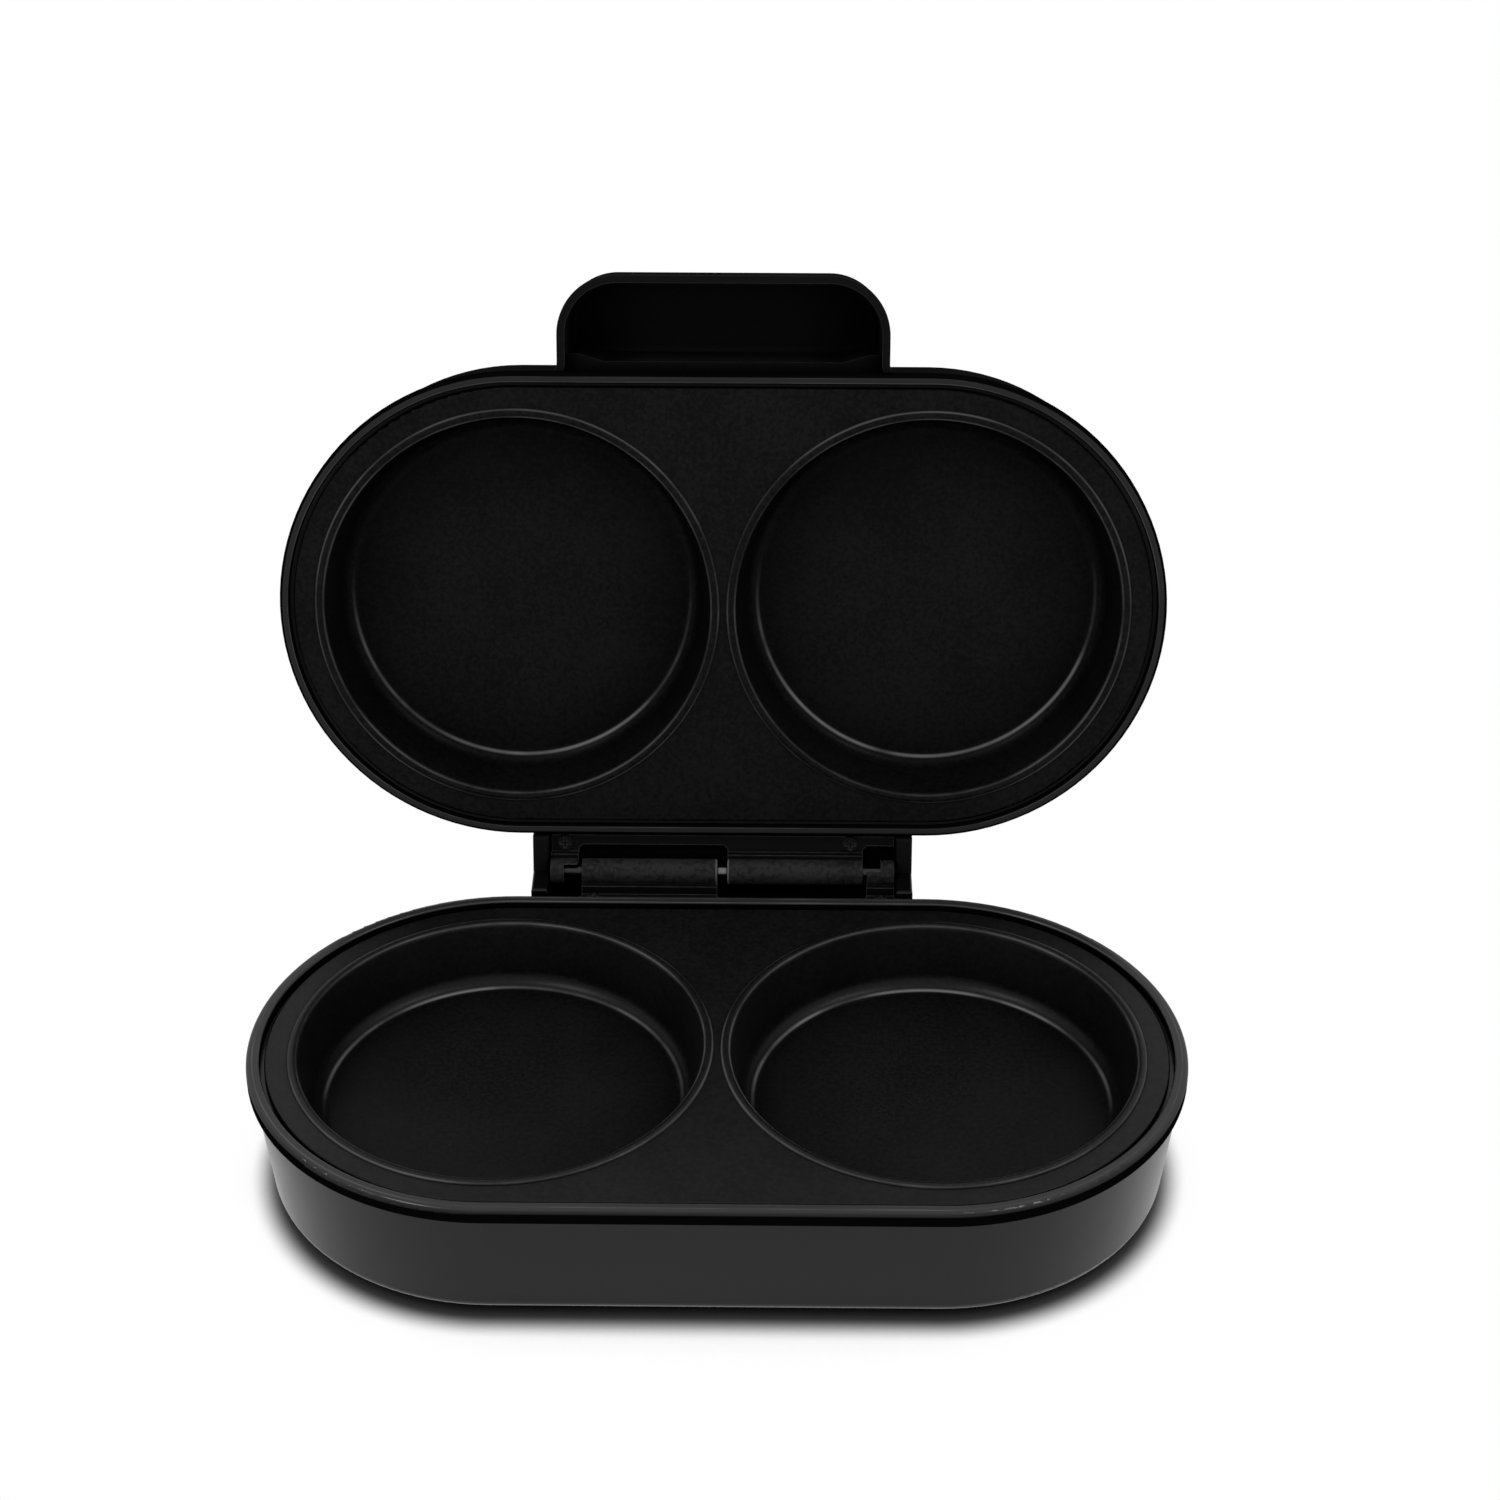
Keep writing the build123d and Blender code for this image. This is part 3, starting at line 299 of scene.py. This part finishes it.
def edge_wear_and_sheen_group():
    """Paler convex edges where the rounded normal departs from the true one, broken up by noise:
    partly wearing of the edges, partly a painted highlight along them.
    """
    group, enter, leave = new_group(
        "Edge wear",
        [("Radius", "NodeSocketFloat", 0.4 * MM), ("Amount", "NodeSocketFloat", 0.5)],
        [("Mask", "NodeSocketFloat")],
    )
    bevel = group.nodes.new("ShaderNodeBevel")
    bevel.samples = 4
    group.links.new(enter.outputs["Radius"], bevel.inputs["Radius"])
    true_normal = group.nodes.new("ShaderNodeNewGeometry").outputs["Normal"]
    dot = vector_node(group, "DOT_PRODUCT", bevel.outputs["Normal"], true_normal)
    away = math_node(group, "SUBTRACT", 1.0, dot.outputs["Value"], clamp=True)
    sharp = math_node(group, "MULTIPLY", away, 6.0, clamp=True)
    broken = math_node(group, "MULTIPLY", noise_node(group, 400.0, 3.0), 1.6)
    worn_and_lit = math_node(group, "MULTIPLY", sharp, broken)
    mask = math_node(group, "MULTIPLY", worn_and_lit, enter.outputs["Amount"], clamp=True)
    group.links.new(mask, leave.inputs["Mask"])
    return group


def soft_ramp(group, value, enter, target):
    """Smooth change of a value from nothing at the group's Low to one at its High."""
    ramp = group.nodes.new("ShaderNodeMapRange")
    ramp.interpolation_type = "SMOOTHSTEP"
    group.links.new(value, ramp.inputs["Value"])
    group.links.new(enter.outputs["Low"], ramp.inputs["From Min"])
    group.links.new(enter.outputs["High"], ramp.inputs["From Max"])
    group.links.new(ramp.outputs["Result"], target)


def openness_group():
    """Openness: how much of its surroundings a point sees, low inside hollows."""
    group, enter, leave = new_group(
        "Openness",
        [
            ("Reach", "NodeSocketFloat", 20.0 * MM),
            ("Low", "NodeSocketFloat", 0.1),
            ("High", "NodeSocketFloat", 0.4),
        ],
        [("Value", "NodeSocketFloat")],
    )
    near = group.nodes.new("ShaderNodeAmbientOcclusion")
    near.samples = 4
    group.links.new(enter.outputs["Reach"], near.inputs["Distance"])
    soft_ramp(group, near.outputs["AO"], enter, leave.inputs["Value"])
    return group


def face_plan_group():
    """Face plan: distances from a half's middle along the cooker and towards the hinge."""
    group, enter, leave = new_group(
        "Face plan",
        [("Origin", "NodeSocketVector", None), ("Towards hinge", "NodeSocketVector", None)],
        [("Along", "NodeSocketFloat"), ("Across", "NodeSocketFloat")],
    )
    away = vector_node(group, "SUBTRACT", object_place(group), enter.outputs["Origin"])
    away = away.outputs["Vector"]
    split = group.nodes.new("ShaderNodeSeparateXYZ")
    group.links.new(away, split.inputs[0])
    along = math_node(group, "ABSOLUTE", split.outputs["X"])
    across = vector_node(group, "DOT_PRODUCT", away, enter.outputs["Towards hinge"])
    group.links.new(along, leave.inputs["Along"])
    group.links.new(across.outputs["Value"], leave.inputs["Across"])
    return group


def highlight_lines_group():
    """Highlight lines: two soft lines of painted highlight at set distances, broken up by noise.
    """
    group, enter, leave = new_group(
        "Rubbed lines",
        [
            ("Distance", "NodeSocketFloat", 0.0),
            ("Inner", "NodeSocketFloat", 0.0),
            ("Outer", "NodeSocketFloat", 0.0),
            ("Width", "NodeSocketFloat", 0.4 * MM),
        ],
        [("Mask", "NodeSocketFloat")],
    )
    lines = []
    for edge in ("Inner", "Outer"):
        off = math_node(group, "SUBTRACT", enter.outputs["Distance"], enter.outputs[edge])
        off = math_node(group, "ABSOLUTE", off)
        widths_off = math_node(group, "DIVIDE", off, enter.outputs["Width"])
        lines.append(math_node(group, "SUBTRACT", 1.0, widths_off, clamp=True))
    both = math_node(group, "MAXIMUM", *lines)
    broken = map_range(group, noise_node(group, 40.0, 4.0), 0.35, 0.65, 0.18, 1.0)
    group.links.new(math_node(group, "MULTIPLY", both, broken), leave.inputs["Mask"])
    return group


def facing_group():
    """Facing: one where the surface looks in a set direction, nothing where it looks away."""
    group, enter, leave = new_group(
        "Facing",
        [
            ("Direction", "NodeSocketVector", None),
            ("Low", "NodeSocketFloat", 0.55),
            ("High", "NodeSocketFloat", 0.95),
        ],
        [("Mask", "NodeSocketFloat")],
    )
    normal = group.nodes.new("ShaderNodeTexCoord").outputs["Normal"]
    dot = vector_node(group, "DOT_PRODUCT", normal, enter.outputs["Direction"])
    soft_ramp(group, dot.outputs["Value"], enter, leave.inputs["Mask"])
    return group


def mottle_group():
    """Mottle: a coarse and a fine noise together, stretched to a strong contrast."""
    group, enter, leave = new_group(
        "Mottle",
        [("Spots per metre", "NodeSocketFloat", 900.0)],
        [("Mask", "NodeSocketFloat")],
    )
    fine = noise_node(group, enter.outputs["Spots per metre"], 2.0, 0.6)
    coarse = noise_node(group, 45.0, 3.0, 0.55)
    both = math_node(group, "ADD", fine, math_node(group, "MULTIPLY", coarse, 0.5))
    group.links.new(map_range(group, both, 0.55, 0.95), leave.inputs["Mask"])
    return group


GROUP_MAKERS = {
    "Fine grain": fine_grain_group,
    "Smudge": smudge_group,
    "Edge wear": edge_wear_and_sheen_group,
    "Openness": openness_group,
    "Face plan": face_plan_group,
    "Rubbed lines": highlight_lines_group,
    "Facing": facing_group,
    "Mottle": mottle_group,
}
GROUPS = {}


def place_group(tree, name, **values):
    """Shader group placed in a material with its own values."""
    if name not in GROUPS:
        GROUPS[name] = GROUP_MAKERS[name]()
    node = tree.nodes.new("ShaderNodeGroup")
    node.node_tree = GROUPS[name]
    for label, value in values.items():
        node.inputs[label.replace("_", " ")].default_value = value
    return node


def openness(tree, **values):
    """Mask that is low inside hollows."""
    return place_group(tree, "Openness", **values).outputs["Value"]


def facing(tree, direction, low, high):
    """Mask of the faces that look in a direction."""
    return place_group(tree, "Facing", Direction=direction, Low=low, High=high).outputs["Mask"]


def mottle(tree):
    """Mask of the coating's spots."""
    return place_group(tree, "Mottle").outputs["Mask"]


def plan_of(tree, half):
    """Face plan of a half, placed in a material."""
    turn = face_matrix(half)
    towards_hinge = turn.col[1].xyz
    return place_group(tree, "Face plan", Origin=turn.translation, Towards_hinge=towards_hinge)


def plan_distance(tree, plan, straight):
    """Distance from the nearer well's axis, or from the track's middle line if straight."""
    beside = math_node(tree, "SUBTRACT", plan.outputs["Along"], WELL_SPACING / 2)
    if straight:
        beside = math_node(tree, "MAXIMUM", beside, 0.0)
    return hypotenuse(tree, beside, plan.outputs["Across"])


def line_mask(tree, plan, straight, inner, outer, width):
    """Mask of two painted highlight lines round both wells, or round the whole track if straight.
    """
    lines = place_group(tree, "Rubbed lines", Inner=inner, Outer=outer, Width=width)
    tree.links.new(plan_distance(tree, plan, straight), lines.inputs["Distance"])
    return lines.outputs["Mask"]


def glossy_walls(tree, half):
    """Mask of a half's side walls, less the one at its free edge, which hands keep dull."""
    turn = face_matrix(half)
    walls = facing(tree, -turn.col[2].xyz, -0.45, -0.2)
    free_edge = facing(tree, -turn.col[1].xyz, 0.15, 0.6)
    return math_node(tree, "MULTIPLY", walls, rest_of(tree, free_edge))


def near_axis(tree):
    """Distances from the hinge axis and from the cooker's middle plane."""
    away = tree.nodes.new("ShaderNodeVectorMath")
    away.operation = "SUBTRACT"
    away.inputs[1].default_value = HINGE
    tree.links.new(object_place(tree), away.inputs[0])
    split = tree.nodes.new("ShaderNodeSeparateXYZ")
    tree.links.new(away.outputs["Vector"], split.inputs[0])
    round_axis = hypotenuse(tree, split.outputs["Y"], split.outputs["Z"])
    return round_axis, math_node(tree, "ABSOLUTE", split.outputs["X"])


# Finishes


def mix_colour(tree, mask, under, over):
    """Mix of two colours by a mask; a colour is a tuple or a socket."""
    node = tree.nodes.new("ShaderNodeMix")
    node.data_type = "RGBA"
    tree.links.new(mask, node.inputs["Factor"])
    for socket, value in ((node.inputs[6], under), (node.inputs[7], over)):
        if isinstance(value, tuple):
            socket.default_value = (*value, 1.0)
        else:
            tree.links.new(value, socket)
    return node.outputs[2]


def new_material(name):
    """Material with one Principled shader, its tree and that shader."""
    material = bpy.data.materials.new(name)
    material.use_nodes = True
    tree = material.node_tree
    return material, tree, tree.nodes["Principled BSDF"]


def lighter(rgb, amount):
    """Colour moved towards white by an amount."""
    return tuple(value + (1.0 - value) * amount for value in rgb)


def coated(name, rgb, roughness, grain, specular, wear_and_sheen, worn_and_lit, speck=0.004, metallic=0.0):
    """Finish with grain, uneven gloss and paler edges, partly wearing and partly a painted
    highlight, each from its own group.

    roughness is its lowest and highest value, and grain is its grains per metre and strength.
    """
    material, tree, shader = new_material(name)
    grains = place_group(tree, "Fine grain", Grains_per_metre=grain[0], Strength=grain[1])
    smudge = place_group(tree, "Smudge", Low=roughness[0], High=roughness[1])
    # paler convex edges: partly wearing, partly a painted highlight
    edge = place_group(tree, "Edge wear", Amount=wear_and_sheen)
    speckled = mix_colour(tree, grains.outputs["Mask"], rgb, lighter(rgb, speck))
    scuffed_and_lit = mix_colour(tree, edge.outputs["Mask"], speckled, worn_and_lit)
    tree.links.new(scuffed_and_lit, shader.inputs["Base Color"])
    tree.links.new(smudge.outputs["Value"], shader.inputs["Roughness"])
    tree.links.new(grains.outputs["Normal"], shader.inputs["Normal"])
    shader.inputs["Metallic"].default_value = metallic
    shader.inputs["Specular IOR Level"].default_value = specular
    return material


def over_colour(material, mask, rgb, weight=None):
    """Lays a colour over a finish's own by a mask, times a weight where one is given."""
    tree = material.node_tree
    socket = tree.nodes["Principled BSDF"].inputs["Base Color"]
    under = socket.links[0].from_socket
    if weight is not None:
        mask = math_node(tree, "MULTIPLY", mask, weight)
    tree.links.new(mix_colour(tree, mask, under, tuple(rgb)), socket)


def glossy_skin(material, mask, weight, roughness):
    """Glossy skin whose weight follows a mask."""
    tree = material.node_tree
    shader = tree.nodes["Principled BSDF"]
    tree.links.new(math_node(tree, "MULTIPLY", mask, weight), shader.inputs["Coat Weight"])
    shader.inputs["Coat Roughness"].default_value = roughness


def assign(node, material):
    """Puts one material on every face of a CAD node."""
    slots = frame["nodes"][node].data.materials
    slots.clear()
    slots.append(material)


def assign_by_ending(endings, material):
    """Puts one material on the CAD nodes whose names end in one of the given words."""
    for node in frame["nodes"]:
        if node.endswith(endings):
            assign(node, material)


class COOKER_OT_housings(bpy.types.Operator):
    """Finishes the two moulded housings and the handle."""

    bl_idname = "cooker.housings"
    bl_label = "Housings and handle"

    def execute(self, context):
        finish = context.scene.cooker_finish
        for name, half, rgb, specular, wear_and_sheen, low, high in (
            ("base_housing", "base", finish.shell, 0.05, 0.25, -0.9, -0.5),
            ("lid_housing", "lid", finish.dull, 0.0, 0.5, 0.12, 0.6),
            ("handle", "lid", finish.dull, 0.0, 0.7, 0.12, 0.6),
        ):
            shell = coated(
                f"{name}_black", tuple(rgb), roughness=(0.3, 0.4), grain=(1800.0, 0.05),
                specular=specular, wear_and_sheen=wear_and_sheen, worn_and_lit=WORN_AND_LIT_PLASTIC, speck=0.001,
            )
            tree = shell.node_tree
            # painted shade: the housing darkened to near-black where little of the surroundings is
            # seen
            hollow_shade = rest_of(tree, openness(tree, Low=0.4, High=0.85))
            over_colour(shell, hollow_shade, PAINTED_HOLLOW_SHADE, 0.9)
            skin = facing(tree, -face_matrix(half).col[2].xyz, low, high)
            if name == "lid_housing":
                skin = math_node(tree, "MAXIMUM", skin, glossy_walls(tree, half))
            skin = math_node(tree, "MULTIPLY", skin, openness(tree))
            glossy_skin(shell, skin, finish.gloss, finish.skin_roughness)
            assign(name, shell)
        return {"FINISHED"}


class COOKER_OT_trim(bpy.types.Operator):
    """Finishes the trim rings: a dark skirt, a crown painted paler as a highlight, and painted
    highlight lines on the crown.
    """

    bl_idname = "cooker.trim"
    bl_label = "Trim rings"

    def execute(self, context):
        finish = context.scene.cooker_finish
        first_line = PLATE_HALF + 1.3 * MM
        second_line = first_line + 1.5 * MM
        for half, low, high in (("base", 0.55, 0.95), ("lid", 0.88, 0.99)):
            ring = coated(
                f"{half}_trim", tuple(finish.rim), roughness=(0.25, 0.35), grain=(1800.0, 0.05),
                specular=0.0, wear_and_sheen=0.2, worn_and_lit=WORN_AND_LIT_TRIM, speck=0.001,
            )
            tree = ring.node_tree
            outward = face_matrix(half).col[2].xyz
            # painted highlight: the crown, which faces out of the face, painted paler than the
            # skirt
            crown = facing(tree, outward, low, high)
            over_colour(ring, crown, finish.rubbed)
            plan = plan_of(tree, half)
            # painted highlight lines on the crown
            lines = line_mask(tree, plan, True, first_line, second_line, finish.crown_line)
            over_colour(ring, lines, finish.bead, crown)
            if half == "base":
                skin = facing(tree, outward, 0.1, 0.5)
                glossy_skin(ring, skin, finish.trim_gloss, finish.skin_roughness)
            assign(f"{half}_trim_ring", ring)
        return {"FINISHED"}


class COOKER_OT_plates(bpy.types.Operator):
    """Finishes the two cooking plates: matte coating, with painted shade inside the wells and
    painted highlight lines along the beads and at the wells' corners.
    """

    bl_idname = "cooker.plates"
    bl_label = "Cooking plates"

    def execute(self, context):
        finish = context.scene.cooker_finish
        roughness = (finish.plate_roughness - 0.05, finish.plate_roughness + 0.05)
        rgb = tuple(finish.plate)
        inner_line = MOUTH_RADIUS + 0.2 * MM
        outer_line = MOUTH_RADIUS + BEAD_WIDTH - 0.3 * MM
        corner = MOUTH_RADIUS - WELL_TAPER - CORNER_RADIUS / 2
        for half, sheen in (("base", finish.base_sheen), ("lid", finish.lid_sheen)):
            coating = coated(
                f"{half}_non_stick", rgb, roughness=roughness, grain=(1500.0, 0.35),
                specular=0.01, wear_and_sheen=0.15, worn_and_lit=WORN_AND_LIT_COATING, speck=0.002,
            )
            tree = coating.node_tree
            over_colour(coating, mottle(tree), lighter(rgb, 0.005))
            # painted shade: the coating darkened towards near-black inside the wells; the same
            # mask sets the glossy skin's weight
            near = openness(tree, Reach=30.0 * MM, Low=0.45, High=0.92)
            over_colour(coating, rest_of(tree, near), SHADED_PLATE, 0.85)
            glossy_skin(coating, near, sheen, finish.plate_roughness)
            plan = plan_of(tree, half)
            # painted highlights along both edges of the beads
            beads = line_mask(tree, plan, False, inner_line, outer_line, finish.bead_line)
            over_colour(coating, beads, finish.bead)
            # painted highlight along the wells' corners, only on the side towards the hinge
            corners = line_mask(tree, plan, False, corner, corner, finish.corner_line)
            rear = map_range(tree, plan.outputs["Across"], -12.0 * MM, 22.0 * MM)
            over_colour(coating, corners, finish.corner, rear)
            assign(f"{half}_plate", coating)
        return {"FINISHED"}


class COOKER_OT_hinge(bpy.types.Operator):
    """Finishes the hinge leaves, their screws and the pin."""

    bl_idname = "cooker.hinge"
    bl_label = "Hinge"

    def execute(self, context):
        finish = context.scene.cooker_finish
        paint = coated(
            "hinge_paint", tuple(finish.leaf), roughness=(0.28, 0.42), grain=(1400.0, 0.12),
            specular=0.05, wear_and_sheen=0.8, worn_and_lit=WORN_AND_LIT_PAINT, speck=0.001,
        )
        tree = paint.node_tree
        round_axis, beside = near_axis(tree)
        barrel_edge = BARREL_RADIUS + 0.05 * MM
        barrel = map_range(tree, round_axis, barrel_edge, barrel_edge + 0.2 * MM, 1.0, 0.0)
        spots = math_node(tree, "ADD", mottle(tree), 0.3)
        thin = math_node(tree, "MULTIPLY", barrel, spots, clamp=True)
        over_colour(paint, thin, finish.knuckle)
        # painted highlight: a bright band on the barrels next to the middle gap
        ends = map_range(tree, beside, 1.5 * MM, 1.9 * MM, 1.0, 0.0)
        over_colour(paint, barrel, PAINTED_KNUCKLE_GLINT, ends)
        assign_by_ending(("_hinge_leaf", "_hinge_screws"), paint)

        steel = coated(
            "blackened_pin", PIN_STEEL, roughness=(0.22, 0.34), grain=(900.0, 0.05),
            specular=0.5, wear_and_sheen=0.3, worn_and_lit=WORN_AND_LIT_PIN, metallic=1.0,
        )
        tree = steel.node_tree
        beside = near_axis(tree)[1]
        # painted highlight: the pin's middle, in the gap between the knuckles, painted bright
        middle = map_range(tree, beside, 0.7 * MM, 1.2 * MM, 1.0, 0.0)
        over_colour(steel, middle, PAINTED_PIN_GLINT)
        assign("hinge_pin", steel)
        return {"FINISHED"}


SmallFinish = namedtuple("SmallFinish", "endings rgb roughness grain specular metallic")


class COOKER_OT_small_parts(bpy.types.Operator):
    """Finishes feet, cord bush, lenses and the pieces inside."""

    bl_idname = "cooker.small_parts"
    bl_label = "Feet, lenses and inner pieces"

    def execute(self, context):
        rubber = tuple(context.scene.cooker_finish.rubber)
        screws = (
            "plate_screws", "shield_screws", "thermostat_screws", "clip_screws", "block_screws",
            "handle_screws", "holder_screw", "fuse_clip",
        )
        finishes = {
            "rubber": SmallFinish(
                ("_foot", "inlet_bush"), rubber, (0.6, 0.75), (900.0, 0.2), 0.3, 0.0
            ),
            "red_lens": SmallFinish(
                ("power_lens",), (0.5, 0.02, 0.015), (0.1, 0.16), (300.0, 0.01), 0.5, 0.0
            ),
            "green_lens": SmallFinish(
                ("ready_lens",), (0.02, 0.33, 0.06), (0.1, 0.16), (300.0, 0.01), 0.5, 0.0
            ),
            "bright_screws": SmallFinish(
                screws, (0.55, 0.55, 0.56), (0.25, 0.4), (900.0, 0.05), 0.5, 1.0
            ),
            "heater_sheath": SmallFinish(
                ("_element", "_pins"), (0.3, 0.27, 0.25), (0.35, 0.5), (700.0, 0.1), 0.5, 1.0
            ),
            "ceramic": SmallFinish(
                ("_seals", "thermostat"), (0.75, 0.72, 0.66), (0.5, 0.65), (800.0, 0.1), 0.4, 0.0
            ),
            "rolled_sheet": SmallFinish(
                ("_heat_shield", "thermal_fuse"), (0.7, 0.7, 0.71), (0.3, 0.45), (500.0, 0.08),
                0.5, 1.0,
            ),
            "natural_nylon": SmallFinish(
                ("terminal_block", "lamp_holder"), (0.7, 0.69, 0.63), (0.4, 0.5), (900.0, 0.08),
                0.4, 0.0,
            ),
            "lamp_glass": SmallFinish(
                ("_lamp",), (0.8, 0.5, 0.3), (0.05, 0.1), (300.0, 0.0), 0.5, 0.0
            ),
        }
        for name, small in finishes.items():
            material = coated(
                name, small.rgb, roughness=small.roughness, grain=small.grain,
                specular=small.specular, wear_and_sheen=0.1, worn_and_lit=lighter(small.rgb, 0.2),
                metallic=small.metallic,
            )
            assign_by_ending(small.endings, material)
        return {"FINISHED"}


# Stage


def seen_directly(tree):
    """One where the camera, a reflection or glass sees the surface, nothing for its light."""
    path = tree.nodes.new("ShaderNodeLightPath")
    seen = math_node(tree, "MAXIMUM", path.outputs["Is Camera Ray"], path.outputs["Is Glossy Ray"])
    return math_node(tree, "MAXIMUM", seen, path.outputs["Is Transmission Ray"])


def floor_material(studio):
    """White floor that the eye sees with only the soft shadow close to the cooker."""
    material, tree, shader = new_material("pale_floor")
    shader.inputs["Base Color"].default_value = (*studio.floor, 1.0)
    shader.inputs["Roughness"].default_value = 0.9
    shader.inputs["Specular IOR Level"].default_value = 0.0

    # the shadow, painted: occlusion by what stands over the floor, times a painted band darkest
    # along the foot of the walls
    near = tree.nodes.new("ShaderNodeAmbientOcclusion")
    near.samples = 12
    near.inputs["Distance"].default_value = studio.shadow_reach
    shade = map_range(tree, near.outputs["AO"], 0.1, 0.62)
    plan = place_group(tree, "Face plan", Origin=(0, CENTRE_Y, 0), Towards_hinge=(0, 1, 0))
    distance = plan_distance(tree, plan, True)
    foot = RIM_HALF - studio.shadow_inset
    edge = map_range(tree, distance, foot, foot + studio.shadow_width, 0.05, 1.0)
    shade = math_node(tree, "MULTIPLY", shade, edge)

    # reflections and glass see it white
    path = tree.nodes.new("ShaderNodeLightPath")
    for ray in ("Is Glossy Ray", "Is Transmission Ray"):
        shade = math_node(tree, "MAXIMUM", shade, path.outputs[ray])
    white = tree.nodes.new("ShaderNodeEmission")
    tree.links.new(shade, white.inputs["Strength"])
    mix = tree.nodes.new("ShaderNodeMixShader")
    tree.links.new(seen_directly(tree), mix.inputs["Fac"])
    tree.links.new(shader.outputs["BSDF"], mix.inputs[1])
    tree.links.new(white.outputs["Emission"], mix.inputs[2])
    tree.links.new(mix.outputs["Shader"], tree.nodes["Material Output"].inputs["Surface"])
    return material


def lay_floor(scene, studio):
    """Large flat sheet under the feet."""
    data = bpy.data.meshes.new("floor")
    reach = FLOOR_REACH
    corners = [(-reach, -reach, 0), (reach, -reach, 0), (reach, reach, 0), (-reach, reach, 0)]
    data.from_pydata(corners, [], [(0, 1, 2, 3)])
    floor = bpy.data.objects.new("floor", data)
    scene.collection.objects.link(floor)
    data.materials.append(floor_material(studio))


def light_world(scene, ambient):
    """Even light from all round, white where the camera or a reflection sees it."""
    world = bpy.data.worlds.new("studio")
    world.use_nodes = True
    scene.world = world
    tree = world.node_tree
    background = tree.nodes["Background"]
    background.inputs["Color"].default_value = (1.0, 1.0, 1.0, 1.0)
    extra = math_node(tree, "MULTIPLY", seen_directly(tree), 1.0 - ambient)
    strength = math_node(tree, "ADD", extra, ambient)
    tree.links.new(strength, background.inputs["Strength"])


def hang_lamp(scene, name, place, side, power):
    """Soft square lamp that faces the cooker."""
    data = bpy.data.lights.new(name, "AREA")
    data.shape = "SQUARE"
    data.size = side
    data.energy = power
    lamp = bpy.data.objects.new(name, data)
    lamp.location = place
    aim = Vector(LAMP_TARGET) - Vector(place)
    lamp.rotation_euler = aim.to_track_quat("-Z", "Y").to_euler()
    scene.collection.objects.link(lamp)


def set_camera(scene, studio):
    """Camera at the place and turns found for the photo."""
    azimuth, elevation, roll = studio.azimuth, studio.elevation, studio.roll
    back = Vector((
        math.sin(azimuth) * math.cos(elevation),
        -math.cos(azimuth) * math.cos(elevation),
        math.sin(elevation),
    ))
    right = (-back).cross(Vector((0, 0, 1))).normalized()
    up = right.cross(-back)
    turned_right = math.cos(roll) * right + math.sin(roll) * up
    turned_up = math.cos(roll) * up - math.sin(roll) * right
    data = bpy.data.cameras.new("camera")
    data.lens = studio.lens
    data.sensor_width = 36.0
    data.clip_start, data.clip_end = 0.01, 50.0
    camera = bpy.data.objects.new("camera", data)
    scene.collection.objects.link(camera)
    turn = Matrix((turned_right, turned_up, back)).transposed().to_4x4()
    place = Vector((0, CENTRE_Y, FACE_Z)) + Vector(studio.place)
    camera.matrix_world = Matrix.Translation(place) @ turn
    scene.camera = camera


class COOKER_OT_studio(bpy.types.Operator):
    """Builds the pale floor, the soft light and the camera."""

    bl_idname = "cooker.studio"
    bl_label = "Studio"

    def execute(self, context):
        scene = context.scene
        studio = scene.cooker_studio
        scene.view_settings.view_transform = "Standard"
        lay_floor(scene, studio)
        light_world(scene, studio.ambient)
        for name, place, side, power in LAMPS:
            hang_lamp(scene, name, place, side, power)
        set_camera(scene, studio)
        return {"FINISHED"}


OPERATORS = (
    COOKER_OT_housings,
    COOKER_OT_trim,
    COOKER_OT_plates,
    COOKER_OT_hinge,
    COOKER_OT_small_parts,
    COOKER_OT_studio,
)


class COOKER_PT_panel(bpy.types.Panel):
    """Lists the cooker's pieces and properties in the 3D view's sidebar."""

    bl_idname = "COOKER_PT_panel"
    bl_label = "Cooker"
    bl_space_type = "VIEW_3D"
    bl_region_type = "UI"
    bl_category = "Cooker"

    def draw(self, context):
        for operator in OPERATORS:
            self.layout.operator(operator.bl_idname)
        for group in (context.scene.cooker_finish, context.scene.cooker_studio):
            for name in group.bl_rna.properties.keys():
                if name not in {"rna_type", "name"}:
                    self.layout.prop(group, name)


CLASSES = (COOKER_PG_finish, COOKER_PG_studio, *OPERATORS, COOKER_PT_panel)


def register():
    """Registers the classes and hangs the properties on the scene."""
    for cls in CLASSES:
        bpy.utils.register_class(cls)
    bpy.types.Scene.cooker_finish = bpy.props.PointerProperty(type=COOKER_PG_finish)
    bpy.types.Scene.cooker_studio = bpy.props.PointerProperty(type=COOKER_PG_studio)


def unregister():
    """Takes the properties and the classes away again."""
    del bpy.types.Scene.cooker_studio
    del bpy.types.Scene.cooker_finish
    for cls in reversed(CLASSES):
        bpy.utils.unregister_class(cls)


def main():
    """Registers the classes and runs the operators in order."""
    register()
    bpy.ops.cooker.housings()
    bpy.ops.cooker.trim()
    bpy.ops.cooker.plates()
    bpy.ops.cooker.hinge()
    bpy.ops.cooker.small_parts()
    bpy.ops.cooker.studio()


if __name__ == "__main__":
    main()
